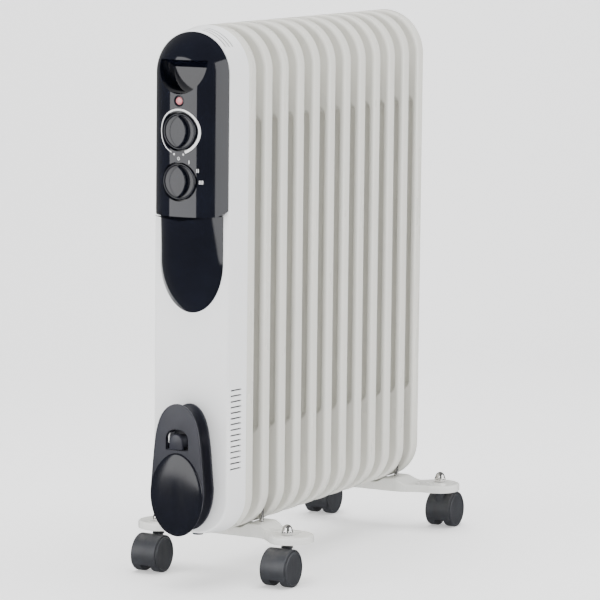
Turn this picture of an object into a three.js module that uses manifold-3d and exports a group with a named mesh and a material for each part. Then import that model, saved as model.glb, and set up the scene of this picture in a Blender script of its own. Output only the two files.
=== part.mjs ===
// Oil filled radiator heater: twelve pressed fins on two oil ducts, a control end and two caster feet.
// Millimetres, +Z up, the fin row along X with the control end at -X, origin under the middle of the box.
import * as THREE from 'three';
import { mergeVertices } from 'three/addons/utils/BufferGeometryUtils.js';
import Module from 'manifold-3d';

const wasm = await Module();
wasm.setup();

// ---------- driving dimensions ----------
const GAP = 0.3; // between touching pieces
const PAST = 100; // how far a cutter reaches past what it cuts
const RUN = 0.3; // running clearance round a shaft or an axle

const FIN_COUNT = 12;
const FIN_PITCH = 37.5;
const FIN_HALF_WIDTH = 51;
const FIN_BASE = 57; // underside of the fins above the floor
const FIN_HEIGHT = 559;
const FIN_TOP_RADIUS = 51;
const FIN_BOTTOM_RADIUS = 44;
const FIN_RIM = 17.5; // thickness of the rolled rim along X
const FIN_EDGE = 3.5; // rounding of the rim
const RIM_WALL = 5.5; // flat of the rim beside the side channel
const CHANNEL_WIDTH = 17;
const CHANNEL_DEPTH = 5.7;
const CHANNEL_ABOVE_BASE = 110;
const CHANNEL_BELOW_TOP = 100;

const DUCT_BORE = 15;
const COLLAR_RADIUS = 22;
const LOW_DUCT_RISE = 51; // duct centre above the fin base
const HIGH_DUCT_DROP = 52; // duct centre below the fin top
const END_CAP = 4; // closed collar on the last fin

const ELEMENT_TUBE = 4;
const ELEMENT_SPREAD = 7.5; // tube centre from the duct centre
const ELEMENT_END_ROOM = 24; // from the tube's bend to the end of the duct
const ELEMENT_NECK = 11;
const ELEMENT_HEAD = 5; // length of the hexagon head in front of the flange
const ELEMENT_PIN = 6; // length of the terminal pins in front of the head
const PIN_RADIUS = 1.6;
const FLANGE_RADIUS = 24;
const FLANGE_THICK = 3;

const SHELL_DEPTH = 33;
const SHELL_WALL = 2.2;
const SHELL_TAPER = 4.6; // the front outline is this much smaller all round
const SHELL_BASE = 57;
const SHELL_BOTTOM_RADIUS = 44;
const SHELL_EDGE = 2.6; // rounding of the front edge
const SLIT_COUNT = 15;
const SLIT_PITCH = 6.2;
const SLIT_LENGTH = 20;
const SLIT_HEIGHT = 2;
const SLIT_LOWEST = 134;
const CROWN_SLOTS = 3;
const CROWN_SLOT_PITCH = 5.6;
const CROWN_SLOT_WIDTH = 1.8;
const CROWN_SLOT_FIRST = 6.2; // first slot behind the shell's front
const CROWN_SLOT_DROP = 22; // slots' lower ends below the top
const CROWN_BRIDGE = 6; // half the solid bridge between left and right slots

const POD_HALF_WIDTH = 45;
const POD_RISE = 30; // crown of the control panel in front of the shell
const POD_WALL = 2.5;
const POD_TOP_INSET = 1.4;
const SEAM_DROP = 204; // joint between the panel and its tongue, below the top
const TONGUE_HALF_WIDTH = 39;
const TONGUE_LENGTH = 107;
const TONGUE_ROUND = 56; // height of the tongue's elliptical tip
const TONGUE_TIP_RISE = 10;
const CORNER_CUT_ACROSS = 7; // slanted lower corners of the panel
const CORNER_CUT_UP = 6;
const GRIP_DROP = 35;
const GRIP_HALF_WIDTH = 29;
const GRIP_DEPTH_DOWN = 37;
const GRIP_FLOOR = 4.5; // floor of the grip in front of the shell

const THERMOSTAT_DROP = 112;
const SWITCH_DROP = 166;
const LAMP_DROP = 79;
const KNOB_RADIUS = 20;
const KNOB_RIM = 2.6; // raised rim round the knob's face
const KNOB_RIM_RISE = 1.4;
const KNOB_SEAT = 24; // plane of the knob seat in front of the shell
const KNOB_RISE = 9;
const KNOB_BAR_RISE = 5; // lens-shaped grip bar in front of the knob's face
const KNOB_BAR_HALF = 10;
const KNOB_BAR_REACH = 17; // half the length of the bar
const SHAFT_RADIUS = 3;
const BUSH_RADIUS = 5;
const LAMP_RADIUS = 4.2;
const THERMOSTAT_BODY = [17, 13, 16]; // half width, half height, depth
const SWITCH_BODY = [14, 15, 20];
const TERMINALS = 5;
const TERMINAL_PITCH = 9;
const TERMINAL_LOW = 338;
const TERMINAL_HIGH = 360;

const WINDER_MIDDLE = 112; // height of the winder plate's widest line
const WINDER_UP = 96;
const WINDER_DOWN = 50;
const WINDER_HALF_WIDTH = 33;
const WINDER_TAPER = 8; // narrower towards the top
const WINDER_PLATE = 2.6;
const WINDER_STAND = 27.5; // plate's back in front of the shell
const WINDER_BULGE = 6;
const SPOOL_INSET = 14;
const SPOOL_FLANGE = 3;
const WINDOW_HALF_WIDTH = 14;
const WINDOW_LOW = 157;
const WINDOW_HIGH = 180;
const CLIP_SEAT = 12; // recess in the spool that holds the cord clip

const PADDLE_TOP = 55;
const FOOT_SHEET = 2;
const FOOT_FLANGE = 8.5;
const SADDLE_HALF_LENGTH = 20;
const SADDLE_PAST_BOLT = 8; // end of the saddle past the U-bolt's legs
const SADDLE_RISE = 4.7; // saddle's ends above the fins' underside
const CRADLE_PAST_FLAT = 11; // low middle of the saddle past the flat of the fins' underside
const CRADLE_SLOPE = 12; // width over which the saddle rises beside it
const FOOT_HALF_SPAN = 108;
const PADDLE_START = 44; // where the strip begins to swell into the paddle
const PADDLE_BLEND = 34;
const PADDLE_OUT = 18; // paddle's middle line outwards from the U-bolt
const PADDLE_SWELL = 6.5; // how much wider the paddle is than the strip, on each side
const PADDLE_ROUND = 76; // where the rounded tip begins
const CASTER_OUT = 25; // caster stem from the U-bolt, away from the middle
const CASTER_SIDE = 82; // caster stem from the centre line
const BOLT_ROD = 2.5;
const BOLT_PAST_CRADLE = 6; // U-bolt's legs past the slope of the saddle
const BOLT_TAIL = 11;

const WHEEL_RADIUS = 20;
const WHEEL_WIDTH = 11;
const WHEEL_ROOM = 0.6; // round the wheel, inside the hood
const WEB_HALF = 5.6; // hood web between the wheels
const HOOD_WALL = 1.5;
const HOOD_HALF_WIDTH = 13;
const AXLE_RADIUS = 4;
const TRAIL = 14; // axle behind the stem
const STEM_RADIUS = 3.8;
const COLLAR_NUT = 5.3;
const STUD_RADIUS = 3;
const STUD_RISE = 7; // stud above the paddle
const CAP_HEX = 7.2;
const CAP_HEX_HIGH = 5.4;
const CAP_DOME = 5.8;
const CAP_HIGH = 11.6;
const HOOD_SKIRT = 0.55; // height where the hood is cut off, as a share of the wheel radius
const WEB_SKIRT = 0.45;

const GLAND_RADIUS = 6;
const GLAND_BORE = 3.8;
const GLAND_SET_BACK = 18; // from the front of the shell

// ---------- places worked out from them ----------
const FIN_TOP = FIN_BASE + FIN_HEIGHT;
const LOW_DUCT = FIN_BASE + LOW_DUCT_RISE;
const HIGH_DUCT = FIN_TOP - HIGH_DUCT_DROP;
const FIN_HALF_RIM = FIN_RIM / 2;
const SEAM_HEIGHT = FIN_TOP - SEAM_DROP;
const GRIP_TOP = FIN_TOP - GRIP_DROP;
const THERMOSTAT_HEIGHT = FIN_TOP - THERMOSTAT_DROP;
const SWITCH_HEIGHT = FIN_TOP - SWITCH_DROP;
const LAMP_HEIGHT = FIN_TOP - LAMP_DROP;
const LAST_FIN = (FIN_COUNT - 1) * FIN_PITCH;
const SHELL_BACK = -FIN_HALF_RIM - GAP;
const SHELL_FRONT = SHELL_BACK - SHELL_DEPTH;
const POD_BASE = SHELL_FRONT - GAP;
const POD_CROWN = POD_BASE - POD_RISE;
const GLAND_X = SHELL_FRONT + GLAND_SET_BACK;
const SEAT_PLANE = SHELL_FRONT - KNOB_SEAT;
const KNOB_BACK = SEAT_PLANE - GAP;
const KNOB_FRONT = KNOB_BACK - KNOB_RISE;
const PLATE_BACK = SHELL_FRONT - WINDER_STAND;
const PLATE_FRONT = PLATE_BACK - WINDER_PLATE;
const CRADLE_TOP = FIN_BASE - GAP;
const SADDLE_TOP = FIN_BASE + SADDLE_RISE;
const CRADLE_FLAT = FIN_HALF_WIDTH - FIN_BOTTOM_RADIUS + CRADLE_PAST_FLAT; // half the low middle of the saddle
const BOLT_HALF_SPAN = CRADLE_FLAT + CRADLE_SLOPE + BOLT_PAST_CRADLE;
const SADDLE_HALF_WIDTH = BOLT_HALF_SPAN + SADDLE_PAST_BOLT;
const FOOT_UNDER = PADDLE_TOP - FOOT_FLANGE;
const FRONT_BOLT = 1.5 * FIN_PITCH;
const REAR_BOLT = LAST_FIN - 0.5 * FIN_PITCH;

// ---------- helpers ----------
const ALONG_X = new THREE.Matrix4().makeBasis(
  new THREE.Vector3(0, 1, 0), new THREE.Vector3(0, 0, 1), new THREE.Vector3(1, 0, 0));

function solid(geometry) {
  const bare = geometry.clone();
  bare.deleteAttribute('normal');
  bare.deleteAttribute('uv');
  const merged = mergeVertices(bare, 1e-4);
  return new wasm.Manifold(new wasm.Mesh({
    numProp: 3,
    vertProperties: new Float32Array(merged.attributes.position.array),
    triVerts: new Uint32Array(merged.index.array),
  }));
}

function slabX(points, x0, x1, holes = []) {
  const shape = new THREE.Shape(points);
  shape.holes = holes.map((hole) => new THREE.Path(hole));
  const geometry = new THREE.ExtrudeGeometry(shape, { depth: x1 - x0, bevelEnabled: false });
  return solid(geometry.applyMatrix4(ALONG_X).translate(x0, 0, 0));
}

function slabZ(points, z0, z1) {
  const geometry = new THREE.ExtrudeGeometry(new THREE.Shape(points), { depth: z1 - z0, bevelEnabled: false });
  return solid(geometry.translate(0, 0, z0));
}

function box(x0, x1, y0, y1, z0, z1) {
  const geometry = new THREE.BoxGeometry(x1 - x0, y1 - y0, z1 - z0);
  return solid(geometry.translate((x0 + x1) / 2, (y0 + y1) / 2, (z0 + z1) / 2));
}

function rodX(radius, x0, x1, y, z, sides = 16, endRadius = radius) {
  const geometry = new THREE.CylinderGeometry(radius, endRadius, x1 - x0, sides);
  return solid(geometry.rotateZ(Math.PI / 2).translate((x0 + x1) / 2, y, z));
}

function rodY(radius, y0, y1, x, z, sides = 16, endRadius = radius) {
  const geometry = new THREE.CylinderGeometry(endRadius, radius, y1 - y0, sides);
  return solid(geometry.translate(x, (y0 + y1) / 2, z));
}

function rodZ(radius, z0, z1, x, y, sides = 16, topRadius = radius) {
  const geometry = new THREE.CylinderGeometry(topRadius, radius, z1 - z0, sides);
  return solid(geometry.rotateX(Math.PI / 2).translate(x, y, (z0 + z1) / 2));
}

// A solid of revolution about Z from [radius, height] pairs that start and end on the axis.
function turnedZ(profile, x, y, sides) {
  const points = profile.map(([radius, height]) => new THREE.Vector2(radius, height));
  return solid(new THREE.LatheGeometry(points, sides).rotateX(Math.PI / 2).translate(x, y, 0));
}

// A solid of revolution about an X axis from [radius, x] pairs that start and end on the axis.
function turnedX(profile, y, z, sides) {
  const points = profile.map(([radius, x]) => new THREE.Vector2(radius, x));
  return solid(new THREE.LatheGeometry(points, sides).rotateZ(-Math.PI / 2).translate(0, y, z));
}

// Outline in (y, z), counter-clockwise, with its own radius on the top and the bottom corners.
function roundedOutline(halfWidth, low, high, topRadius, bottomRadius, topSteps, bottomSteps) {
  const corners = [
    [halfWidth - topRadius, high - topRadius, topRadius, 0, topSteps],
    [topRadius - halfWidth, high - topRadius, topRadius, 1, topSteps],
    [bottomRadius - halfWidth, low + bottomRadius, bottomRadius, 2, bottomSteps],
    [halfWidth - bottomRadius, low + bottomRadius, bottomRadius, 3, bottomSteps],
  ];
  const points = [];
  for (const [y, z, radius, quarter, steps] of corners) {
    for (let i = 0; i <= steps; i++) {
      const angle = (quarter + i / steps) * Math.PI / 2;
      const point = new THREE.Vector2(y + radius * Math.cos(angle), z + radius * Math.sin(angle));
      const last = points[points.length - 1];
      if (!last || last.distanceTo(point) > 0.01) points.push(point);
    }
  }
  return points;
}

function ellipseOutline(halfWidth, middle, halfHeight, steps) {
  const points = [];
  for (let i = 0; i < 2 * steps; i++) {
    const angle = i * Math.PI / steps;
    points.push(new THREE.Vector2(halfWidth * Math.cos(angle), middle + halfHeight * Math.sin(angle)));
  }
  return points;
}

function lensOutline(halfWidth, halfHeight, z, steps) {
  const radius = (halfHeight * halfHeight + halfWidth * halfWidth) / (2 * halfWidth);
  const sweep = Math.asin(halfHeight / radius);
  const points = [];
  for (let i = 0; i < 2 * steps; i++) {
    const side = i < steps ? 1 : -1;
    const angle = side * sweep * (2 * (i % steps) / steps - 1);
    const y = side * (radius * Math.cos(angle) - radius + halfWidth);
    points.push(new THREE.Vector2(y, z + radius * Math.sin(angle)));
  }
  return points;
}

function smoothStep(value) {
  const share = Math.min(Math.max(value, 0), 1);
  return share * share * (3 - 2 * share);
}

// Moves an outline point towards the vertical line between low and high.
function drawnIn(y, z, inset, low, high) {
  const anchor = Math.min(Math.max(z, low), high);
  const length = Math.hypot(y, z - anchor);
  const share = length > 0 ? (length - inset) / length : 1;
  return [y * share, anchor + (z - anchor) * share];
}

// Skins one outline through layers of growing x, each drawn in by its own inset.
function layeredX(points, layers, low, high, place = (x) => x) {
  const shape = new THREE.Shape(points);
  const steps = layers.length - 1;
  const geometry = new THREE.ExtrudeGeometry(shape, { depth: steps, steps, bevelEnabled: false });
  const position = geometry.attributes.position;
  for (let i = 0; i < position.count; i++) {
    const [layerX, inset] = layers[Math.round(position.getZ(i))];
    const [y, z] = drawnIn(position.getX(i), position.getY(i), inset, low, high);
    position.setXYZ(i, place(layerX, z), y, z);
  }
  return solid(geometry);
}

const parts = [];

function add(name, body, material) {
  const mesh = body.getMesh();
  const geometry = new THREE.BufferGeometry();
  geometry.setAttribute('position', new THREE.BufferAttribute(new Float32Array(mesh.vertProperties), 3));
  geometry.setIndex(new THREE.BufferAttribute(new Uint32Array(mesh.triVerts), 1));
  const part = new THREE.Mesh(geometry, material.clone());
  part.name = name;
  parts.push(part);
}

const paint = (color, roughness, metalness) => new THREE.MeshStandardMaterial({ color, roughness, metalness });
const FIN_PAINT = paint(0xd8d8d0, 0.35, 0.1);
const SHELL_WHITE = paint(0xeeeeec, 0.3, 0);
const GLOSS_BLACK = paint(0x0d0f16, 0.12, 0);
const SATIN_BLACK = paint(0x2b2c34, 0.45, 0);
const CASTER_GREY = paint(0x323439, 0.5, 0);
const CHROME = paint(0xc8c8c8, 0.15, 1);
const STEEL = paint(0x9a9c9e, 0.35, 0.9);
const COPPER = paint(0xb87348, 0.35, 0.9);
const LAMP_RED = paint(0xd08688, 0.2, 0);
const INSULATOR = paint(0xcfc8b4, 0.6, 0);

// ---------- fins ----------
function finOutline() {
  return roundedOutline(FIN_HALF_WIDTH, FIN_BASE, FIN_TOP, FIN_TOP_RADIUS, FIN_BOTTOM_RADIUS, 6, 4);
}

function finBlank() {
  const low = FIN_BASE + FIN_BOTTOM_RADIUS;
  const high = FIN_TOP - FIN_TOP_RADIUS;
  const flat = FIN_HALF_RIM - FIN_EDGE;
  const layers = [[-FIN_HALF_RIM, FIN_EDGE], [-flat, 0], [flat, 0], [FIN_HALF_RIM, FIN_EDGE]];
  return layeredX(finOutline(), layers, low, high);
}

function sideChannel(side) {
  const middle = side * (FIN_HALF_WIDTH - RIM_WALL - CHANNEL_WIDTH / 2);
  const radius = CHANNEL_WIDTH / 2;
  const low = FIN_BASE + CHANNEL_ABOVE_BASE;
  const high = FIN_TOP - CHANNEL_BELOW_TOP;
  const outline = roundedOutline(radius, low, high, radius, radius, 1, 1);
  const floor = FIN_HALF_RIM - CHANNEL_DEPTH;
  return slabX(outline, floor, FIN_HALF_RIM + 1).add(slabX(outline, -FIN_HALF_RIM - 1, -floor))
    .translate([0, middle, 0]);
}

function fin(index) {
  const first = index === 0;
  const last = index === FIN_COUNT - 1;
  const reach = last ? FIN_HALF_RIM + END_CAP : FIN_PITCH - FIN_HALF_RIM - GAP;
  let body = finBlank();
  for (const side of [-1, 1]) body = body.subtract(sideChannel(side));
  for (const height of [LOW_DUCT, HIGH_DUCT]) {
    body = body.add(rodX(COLLAR_RADIUS, 0, reach, 0, height, 16));
    const closedFront = first && height === HIGH_DUCT;
    const boreFrom = closedFront ? -FIN_HALF_RIM / 2 : -FIN_HALF_RIM - 1;
    const boreTo = last ? FIN_HALF_RIM / 2 : reach + 1;
    body = body.subtract(rodX(DUCT_BORE, boreFrom, boreTo, 0, height, 10));
  }
  return body.translate([index * FIN_PITCH, 0, 0]);
}

for (let i = 0; i < FIN_COUNT; i++) add(`fin_${String(i + 1).padStart(2, '0')}`, fin(i), FIN_PAINT);

// ---------- heating element in the lower duct ----------
const FLANGE_BACK = -FIN_HALF_RIM - GAP;
const FLANGE_FRONT = FLANGE_BACK - FLANGE_THICK;
const HEAD_FRONT = FLANGE_FRONT - GAP - ELEMENT_HEAD;
const PIN_FRONT = HEAD_FRONT - ELEMENT_PIN;

function heatingElement() {
  const bend = LAST_FIN - ELEMENT_END_ROOM;
  const ring = solid(new THREE.TorusGeometry(ELEMENT_SPREAD, ELEMENT_TUBE, 8, 20).translate(bend, 0, LOW_DUCT));
  let body = ring.intersect(box(bend, bend + PAST, -PAST, PAST, LOW_DUCT - PAST, LOW_DUCT + PAST));
  for (const side of [-1, 1]) {
    body = body.add(rodX(ELEMENT_TUBE, FLANGE_BACK, bend + 0.01, side * ELEMENT_SPREAD, LOW_DUCT, 8));
    body = body.add(rodX(PIN_RADIUS, PIN_FRONT, HEAD_FRONT + 1, side * ELEMENT_SPREAD, LOW_DUCT, 8));
  }
  body = body.add(rodX(ELEMENT_NECK, FLANGE_FRONT - GAP - 1, FLANGE_BACK + 6, 0, LOW_DUCT, 20));
  return body.add(rodX(ELEMENT_NECK + 4, HEAD_FRONT, FLANGE_FRONT - GAP, 0, LOW_DUCT, 6));
}

add('heating_element', heatingElement(), COPPER);

const flangeHole = rodX(ELEMENT_NECK + GAP, FLANGE_FRONT - 1, FLANGE_BACK + 1, 0, LOW_DUCT, 20);
add('element_flange', rodX(FLANGE_RADIUS, FLANGE_FRONT, FLANGE_BACK, 0, LOW_DUCT, 24).subtract(flangeHole), STEEL);

// ---------- control housing ----------
const SHELL_LOW = SHELL_BASE + SHELL_BOTTOM_RADIUS;
const SHELL_HIGH = FIN_TOP - FIN_TOP_RADIUS;

function shellOutline() {
  return roundedOutline(FIN_HALF_WIDTH, SHELL_BASE, FIN_TOP, FIN_TOP_RADIUS, SHELL_BOTTOM_RADIUS, 8, 5);
}

function shellInset(x) {
  return SHELL_TAPER * (SHELL_BACK - x) / SHELL_DEPTH;
}

function housingShell() {
  const shoulder = SHELL_FRONT + SHELL_EDGE;
  const outer = layeredX(shellOutline(), [
    [SHELL_FRONT, shellInset(SHELL_FRONT) + SHELL_EDGE],
    [SHELL_FRONT + 0.3 * SHELL_EDGE, shellInset(SHELL_FRONT) + 0.3 * SHELL_EDGE],
    [shoulder, shellInset(shoulder)],
    [SHELL_BACK, 0],
  ], SHELL_LOW, SHELL_HIGH);
  const innerFront = SHELL_FRONT + SHELL_WALL;
  const inner = layeredX(shellOutline(), [
    [innerFront, shellInset(innerFront) + SHELL_WALL + SHELL_EDGE / 2],
    [shoulder + SHELL_WALL, shellInset(shoulder + SHELL_WALL) + SHELL_WALL],
    [SHELL_BACK + 1, SHELL_WALL],
  ], SHELL_LOW, SHELL_HIGH);
  let body = outer.subtract(inner);
  const slitMiddle = (SHELL_FRONT + SHELL_BACK) / 2 - 2;
  for (let i = 0; i < SLIT_COUNT; i++) {
    const low = SLIT_LOWEST + i * SLIT_PITCH;
    const half = SLIT_LENGTH / 2;
    body = body.subtract(box(slitMiddle - half, slitMiddle + half, -PAST, PAST, low, low + SLIT_HEIGHT));
  }
  const crownHalf = CROWN_SLOT_WIDTH / 2;
  for (let i = 0; i < CROWN_SLOTS; i++) {
    const middle = SHELL_FRONT + CROWN_SLOT_FIRST + i * CROWN_SLOT_PITCH;
    const low = FIN_TOP - CROWN_SLOT_DROP;
    const slot = box(middle - crownHalf, middle + crownHalf, CROWN_BRIDGE, PAST, low, FIN_TOP + 1);
    body = body.subtract(slot).subtract(slot.mirror([0, 1, 0]));
  }
  for (const height of [THERMOSTAT_HEIGHT, SWITCH_HEIGHT]) {
    body = body.subtract(rodX(BUSH_RADIUS + GAP, SHELL_FRONT - 1, innerFront + 1, 0, height, 16));
  }
  return body.subtract(rodZ(GLAND_RADIUS + GAP, SHELL_BASE - 1, SHELL_BASE + 12, GLAND_X, 0, 16));
}

add('housing_shell', housingShell(), SHELL_WHITE);

function cordGland() {
  const innerFloor = SHELL_BASE + SHELL_WALL + shellInset(GLAND_X);
  const outerFloor = SHELL_BASE + shellInset(GLAND_X);
  const body = rodZ(GLAND_RADIUS, outerFloor - 2, innerFloor + 8, GLAND_X, 0, 16)
    .add(rodZ(GLAND_RADIUS + 2.5, innerFloor + 1.5, innerFloor + 3.5, GLAND_X, 0, 16));
  return body.subtract(rodZ(GLAND_BORE, SHELL_BASE - 10, SHELL_BASE + 40, GLAND_X, 0, 12));
}

add('cord_gland', cordGland(), SATIN_BLACK);

const PLATE_X = FLANGE_FRONT - 1.5;
const PLATE_THICK = 1.2;
const CUTOUT_HEIGHT = 300;

function mountingPlate() {
  const inset = SHELL_WALL + shellInset(PLATE_X - PLATE_THICK) + 2 * GAP;
  const outline = roundedOutline(FIN_HALF_WIDTH - inset, SHELL_BASE + inset, FIN_TOP - inset,
    FIN_TOP_RADIUS - inset, SHELL_BOTTOM_RADIUS - inset, 8, 5);
  return slabX(outline, PLATE_X - PLATE_THICK, PLATE_X)
    .subtract(rodX(FLANGE_RADIUS + 2, PLATE_X - 5, PLATE_X + 5, 0, LOW_DUCT, 20))
    .subtract(rodX(10, PLATE_X - 5, PLATE_X + 5, 0, CUTOUT_HEIGHT, 16));
}

add('mounting_plate', mountingPlate(), STEEL);

const PLATE_FACE = PLATE_X - PLATE_THICK - GAP;
const cutoutBody = rodX(8, PLATE_X - 5, -FIN_HALF_RIM - GAP, 0, CUTOUT_HEIGHT, 16)
  .add(box(PLATE_X - 9, PLATE_X - 4, -3, 3, CUTOUT_HEIGHT - 6, CUTOUT_HEIGHT + 6));
add('thermal_cutout', cutoutBody, STEEL);

function terminalBlock() {
  const half = TERMINALS * TERMINAL_PITCH / 2 + 1.5;
  let body = box(PLATE_FACE - 5, PLATE_FACE, -half, half, TERMINAL_LOW, TERMINAL_HIGH);
  for (let i = 0; i < TERMINALS; i++) {
    const y = (i - (TERMINALS - 1) / 2) * TERMINAL_PITCH;
    const barrel = box(PLATE_FACE - 12, PLATE_FACE - 4, y - 3, y + 3, TERMINAL_LOW + 3, TERMINAL_HIGH - 3);
    body = body.add(barrel);
  }
  return body;
}

add('terminal_block', terminalBlock(), INSULATOR);

// ---------- control panel ----------
const POD_TOP = FIN_TOP - SHELL_TAPER - POD_TOP_INSET;
const POD_HIGH = POD_TOP - POD_HALF_WIDTH;
const CROWN_SHARES = [1, 0.95, 0.82, 0.6, 0.3, 0];

// Layers of a full, flat-topped crown, from the crown's own line back to its base plane.
function crownLayers(base, rise, halfWidth, flatHalf) {
  return CROWN_SHARES.map((share) => {
    const inset = Math.min(halfWidth * (1 - Math.cbrt(1 - share)), halfWidth - flatHalf);
    return [base - rise * share, inset];
  });
}

function podBlank(shrink) {
  const half = POD_HALF_WIDTH - shrink;
  const outline = roundedOutline(half, SEAM_HEIGHT - PAST, POD_TOP - shrink, half, 1, 6, 1);
  const rise = POD_RISE - shrink;
  const cut = SEAM_HEIGHT + shrink;
  let body = layeredX(outline, crownLayers(POD_BASE, rise, half, 1.5), SEAM_HEIGHT - PAST, POD_HIGH)
    .subtract(box(POD_CROWN - 1, POD_BASE + 1, -PAST, PAST, 0, cut));
  const slope = CORNER_CUT_UP / CORNER_CUT_ACROSS;
  const start = POD_HALF_WIDTH - CORNER_CUT_ACROSS - shrink * Math.hypot(1, slope) / slope;
  const corner = [[start, SEAM_HEIGHT], [start + PAST, SEAM_HEIGHT], [start + PAST, SEAM_HEIGHT + slope * PAST]]
    .map(([y, z]) => new THREE.Vector2(y, z));
  const wedge = slabX(corner, POD_CROWN - 1, POD_BASE + 1);
  body = body.subtract(wedge).subtract(wedge.mirror([0, 1, 0]));
  return body;
}

function gripOutline(extra) {
  const points = [];
  const steps = 10;
  const half = GRIP_HALF_WIDTH + extra;
  points.push(new THREE.Vector2(half, GRIP_TOP + extra));
  points.push(new THREE.Vector2(-half, GRIP_TOP + extra));
  for (let i = 0; i <= steps; i++) {
    const angle = i * Math.PI / steps;
    const drop = (GRIP_DEPTH_DOWN + extra - 4) * Math.sin(angle);
    points.push(new THREE.Vector2(-half * Math.cos(angle), GRIP_TOP - 4 - drop));
  }
  return points;
}

function controlPanel() {
  const far = POD_CROWN - 5;
  const outer = podBlank(0);
  const inner = podBlank(POD_WALL);
  const opening = inner.add(inner.translate([1, 0, 0]));
  let body = outer.subtract(opening);
  const gripFloor = SHELL_FRONT - GRIP_FLOOR;
  const gripBlock = slabX(gripOutline(POD_WALL), far, gripFloor + POD_WALL);
  body = body.add(gripBlock.intersect(outer));
  for (const height of [THERMOSTAT_HEIGHT, SWITCH_HEIGHT]) {
    body = body.add(rodX(KNOB_RADIUS + 4, far, SEAT_PLANE + POD_WALL, 0, height, 20).intersect(outer));
  }
  body = body.add(rodX(LAMP_RADIUS + 2.2, far, POD_CROWN + 12, 0, LAMP_HEIGHT, 16).intersect(outer));
  body = body.subtract(slabX(gripOutline(0), far, gripFloor));
  for (const height of [THERMOSTAT_HEIGHT, SWITCH_HEIGHT]) {
    body = body.subtract(rodX(KNOB_RADIUS + 1, far, SEAT_PLANE, 0, height, 20));
    body = body.subtract(rodX(SHAFT_RADIUS + RUN + 0.5, far, POD_BASE + 1, 0, height, 12));
  }
  return body.subtract(rodX(LAMP_RADIUS + GAP, far, POD_BASE + 1, 0, LAMP_HEIGHT, 16));
}

add('control_panel', controlPanel(), GLOSS_BLACK);

const TONGUE_TOP = SEAM_HEIGHT - GAP;
const TONGUE_TIP = TONGUE_TOP - TONGUE_LENGTH;

function tongueOutline() {
  const points = [];
  const steps = 12;
  const middle = TONGUE_TIP + TONGUE_ROUND;
  for (let i = 0; i <= steps; i++) {
    const angle = Math.PI + i * Math.PI / steps;
    const y = TONGUE_HALF_WIDTH * Math.cos(angle);
    points.push(new THREE.Vector2(y, middle + TONGUE_ROUND * Math.sin(angle)));
  }
  points.push(new THREE.Vector2(TONGUE_HALF_WIDTH, TONGUE_TOP));
  points.push(new THREE.Vector2(-TONGUE_HALF_WIDTH, TONGUE_TOP));
  return points;
}

function tongueBlank(shrink) {
  const rise = (z) => TONGUE_TIP_RISE + (POD_RISE - 2 - TONGUE_TIP_RISE) * (z - TONGUE_TIP) / TONGUE_LENGTH;
  const layers = crownLayers(0, -1, TONGUE_HALF_WIDTH, 2 + shrink)
    .map(([share, inset]) => [share, inset + shrink]);
  const place = (share, z) => POD_BASE - share * (rise(z) - shrink);
  return layeredX(tongueOutline(), layers, TONGUE_TIP + TONGUE_ROUND, TONGUE_TOP, place);
}

function panelTongue() {
  const below = box(POD_CROWN, POD_BASE, -PAST, PAST, 0, TONGUE_TOP - POD_WALL);
  const inner = tongueBlank(POD_WALL).intersect(below);
  return tongueBlank(0).subtract(inner.add(inner.translate([1, 0, 0])));
}

add('panel_tongue', panelTongue(), GLOSS_BLACK);

// ---------- knobs, shafts and what they turn ----------
function knob(height) {
  const back = KNOB_BACK;
  const face = KNOB_FRONT + KNOB_BAR_RISE;
  const body = turnedX([
    [0, face], [KNOB_RADIUS - KNOB_RIM, face], [KNOB_RADIUS - KNOB_RIM / 2, face - KNOB_RIM_RISE],
    [KNOB_RADIUS, face - KNOB_RIM_RISE / 2], [KNOB_RADIUS, back], [0, back],
  ], 0, height, 20);
  const bar = slabX(lensOutline(KNOB_BAR_HALF, KNOB_BAR_REACH, height, 6), KNOB_FRONT, face + 1);
  return body.add(bar).subtract(rodX(SHAFT_RADIUS + 0.1, KNOB_FRONT + 2.5, back + 1, 0, height, 12));
}

const BODY_FRONT = SHELL_FRONT + SHELL_WALL + GAP;

function shaft(height) {
  return rodX(SHAFT_RADIUS, KNOB_FRONT + 3, BODY_FRONT + 8, 0, height, 12);
}

function controlBody(height, [halfY, halfZ, depth]) {
  return box(BODY_FRONT, BODY_FRONT + depth, -halfY, halfY, height - halfZ, height + halfZ)
    .add(rodX(BUSH_RADIUS, SHELL_FRONT - 4, BODY_FRONT + 1, 0, height, 16))
    .subtract(rodX(SHAFT_RADIUS + RUN, SHELL_FRONT - 6, BODY_FRONT + 9, 0, height, 12));
}

add('thermostat_knob', knob(THERMOSTAT_HEIGHT), GLOSS_BLACK);
add('thermostat_shaft', shaft(THERMOSTAT_HEIGHT), STEEL);
add('thermostat_body', controlBody(THERMOSTAT_HEIGHT, THERMOSTAT_BODY), INSULATOR);
add('switch_knob', knob(SWITCH_HEIGHT), GLOSS_BLACK);
add('switch_shaft', shaft(SWITCH_HEIGHT), STEEL);
add('switch_body', controlBody(SWITCH_HEIGHT, SWITCH_BODY), INSULATOR);

const lampFront = POD_CROWN - 0.5;
add('lamp_lens', turnedX([
  [0, lampFront], [LAMP_RADIUS * 0.6, lampFront + 0.5], [LAMP_RADIUS, lampFront + 2],
  [LAMP_RADIUS, lampFront + 7], [0, lampFront + 7],
], 0, LAMP_HEIGHT, 16), LAMP_RED);
add('lamp_body', rodX(LAMP_RADIUS - 0.8, lampFront + 7 + GAP, lampFront + 22, 0, LAMP_HEIGHT, 12), INSULATOR);

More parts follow.
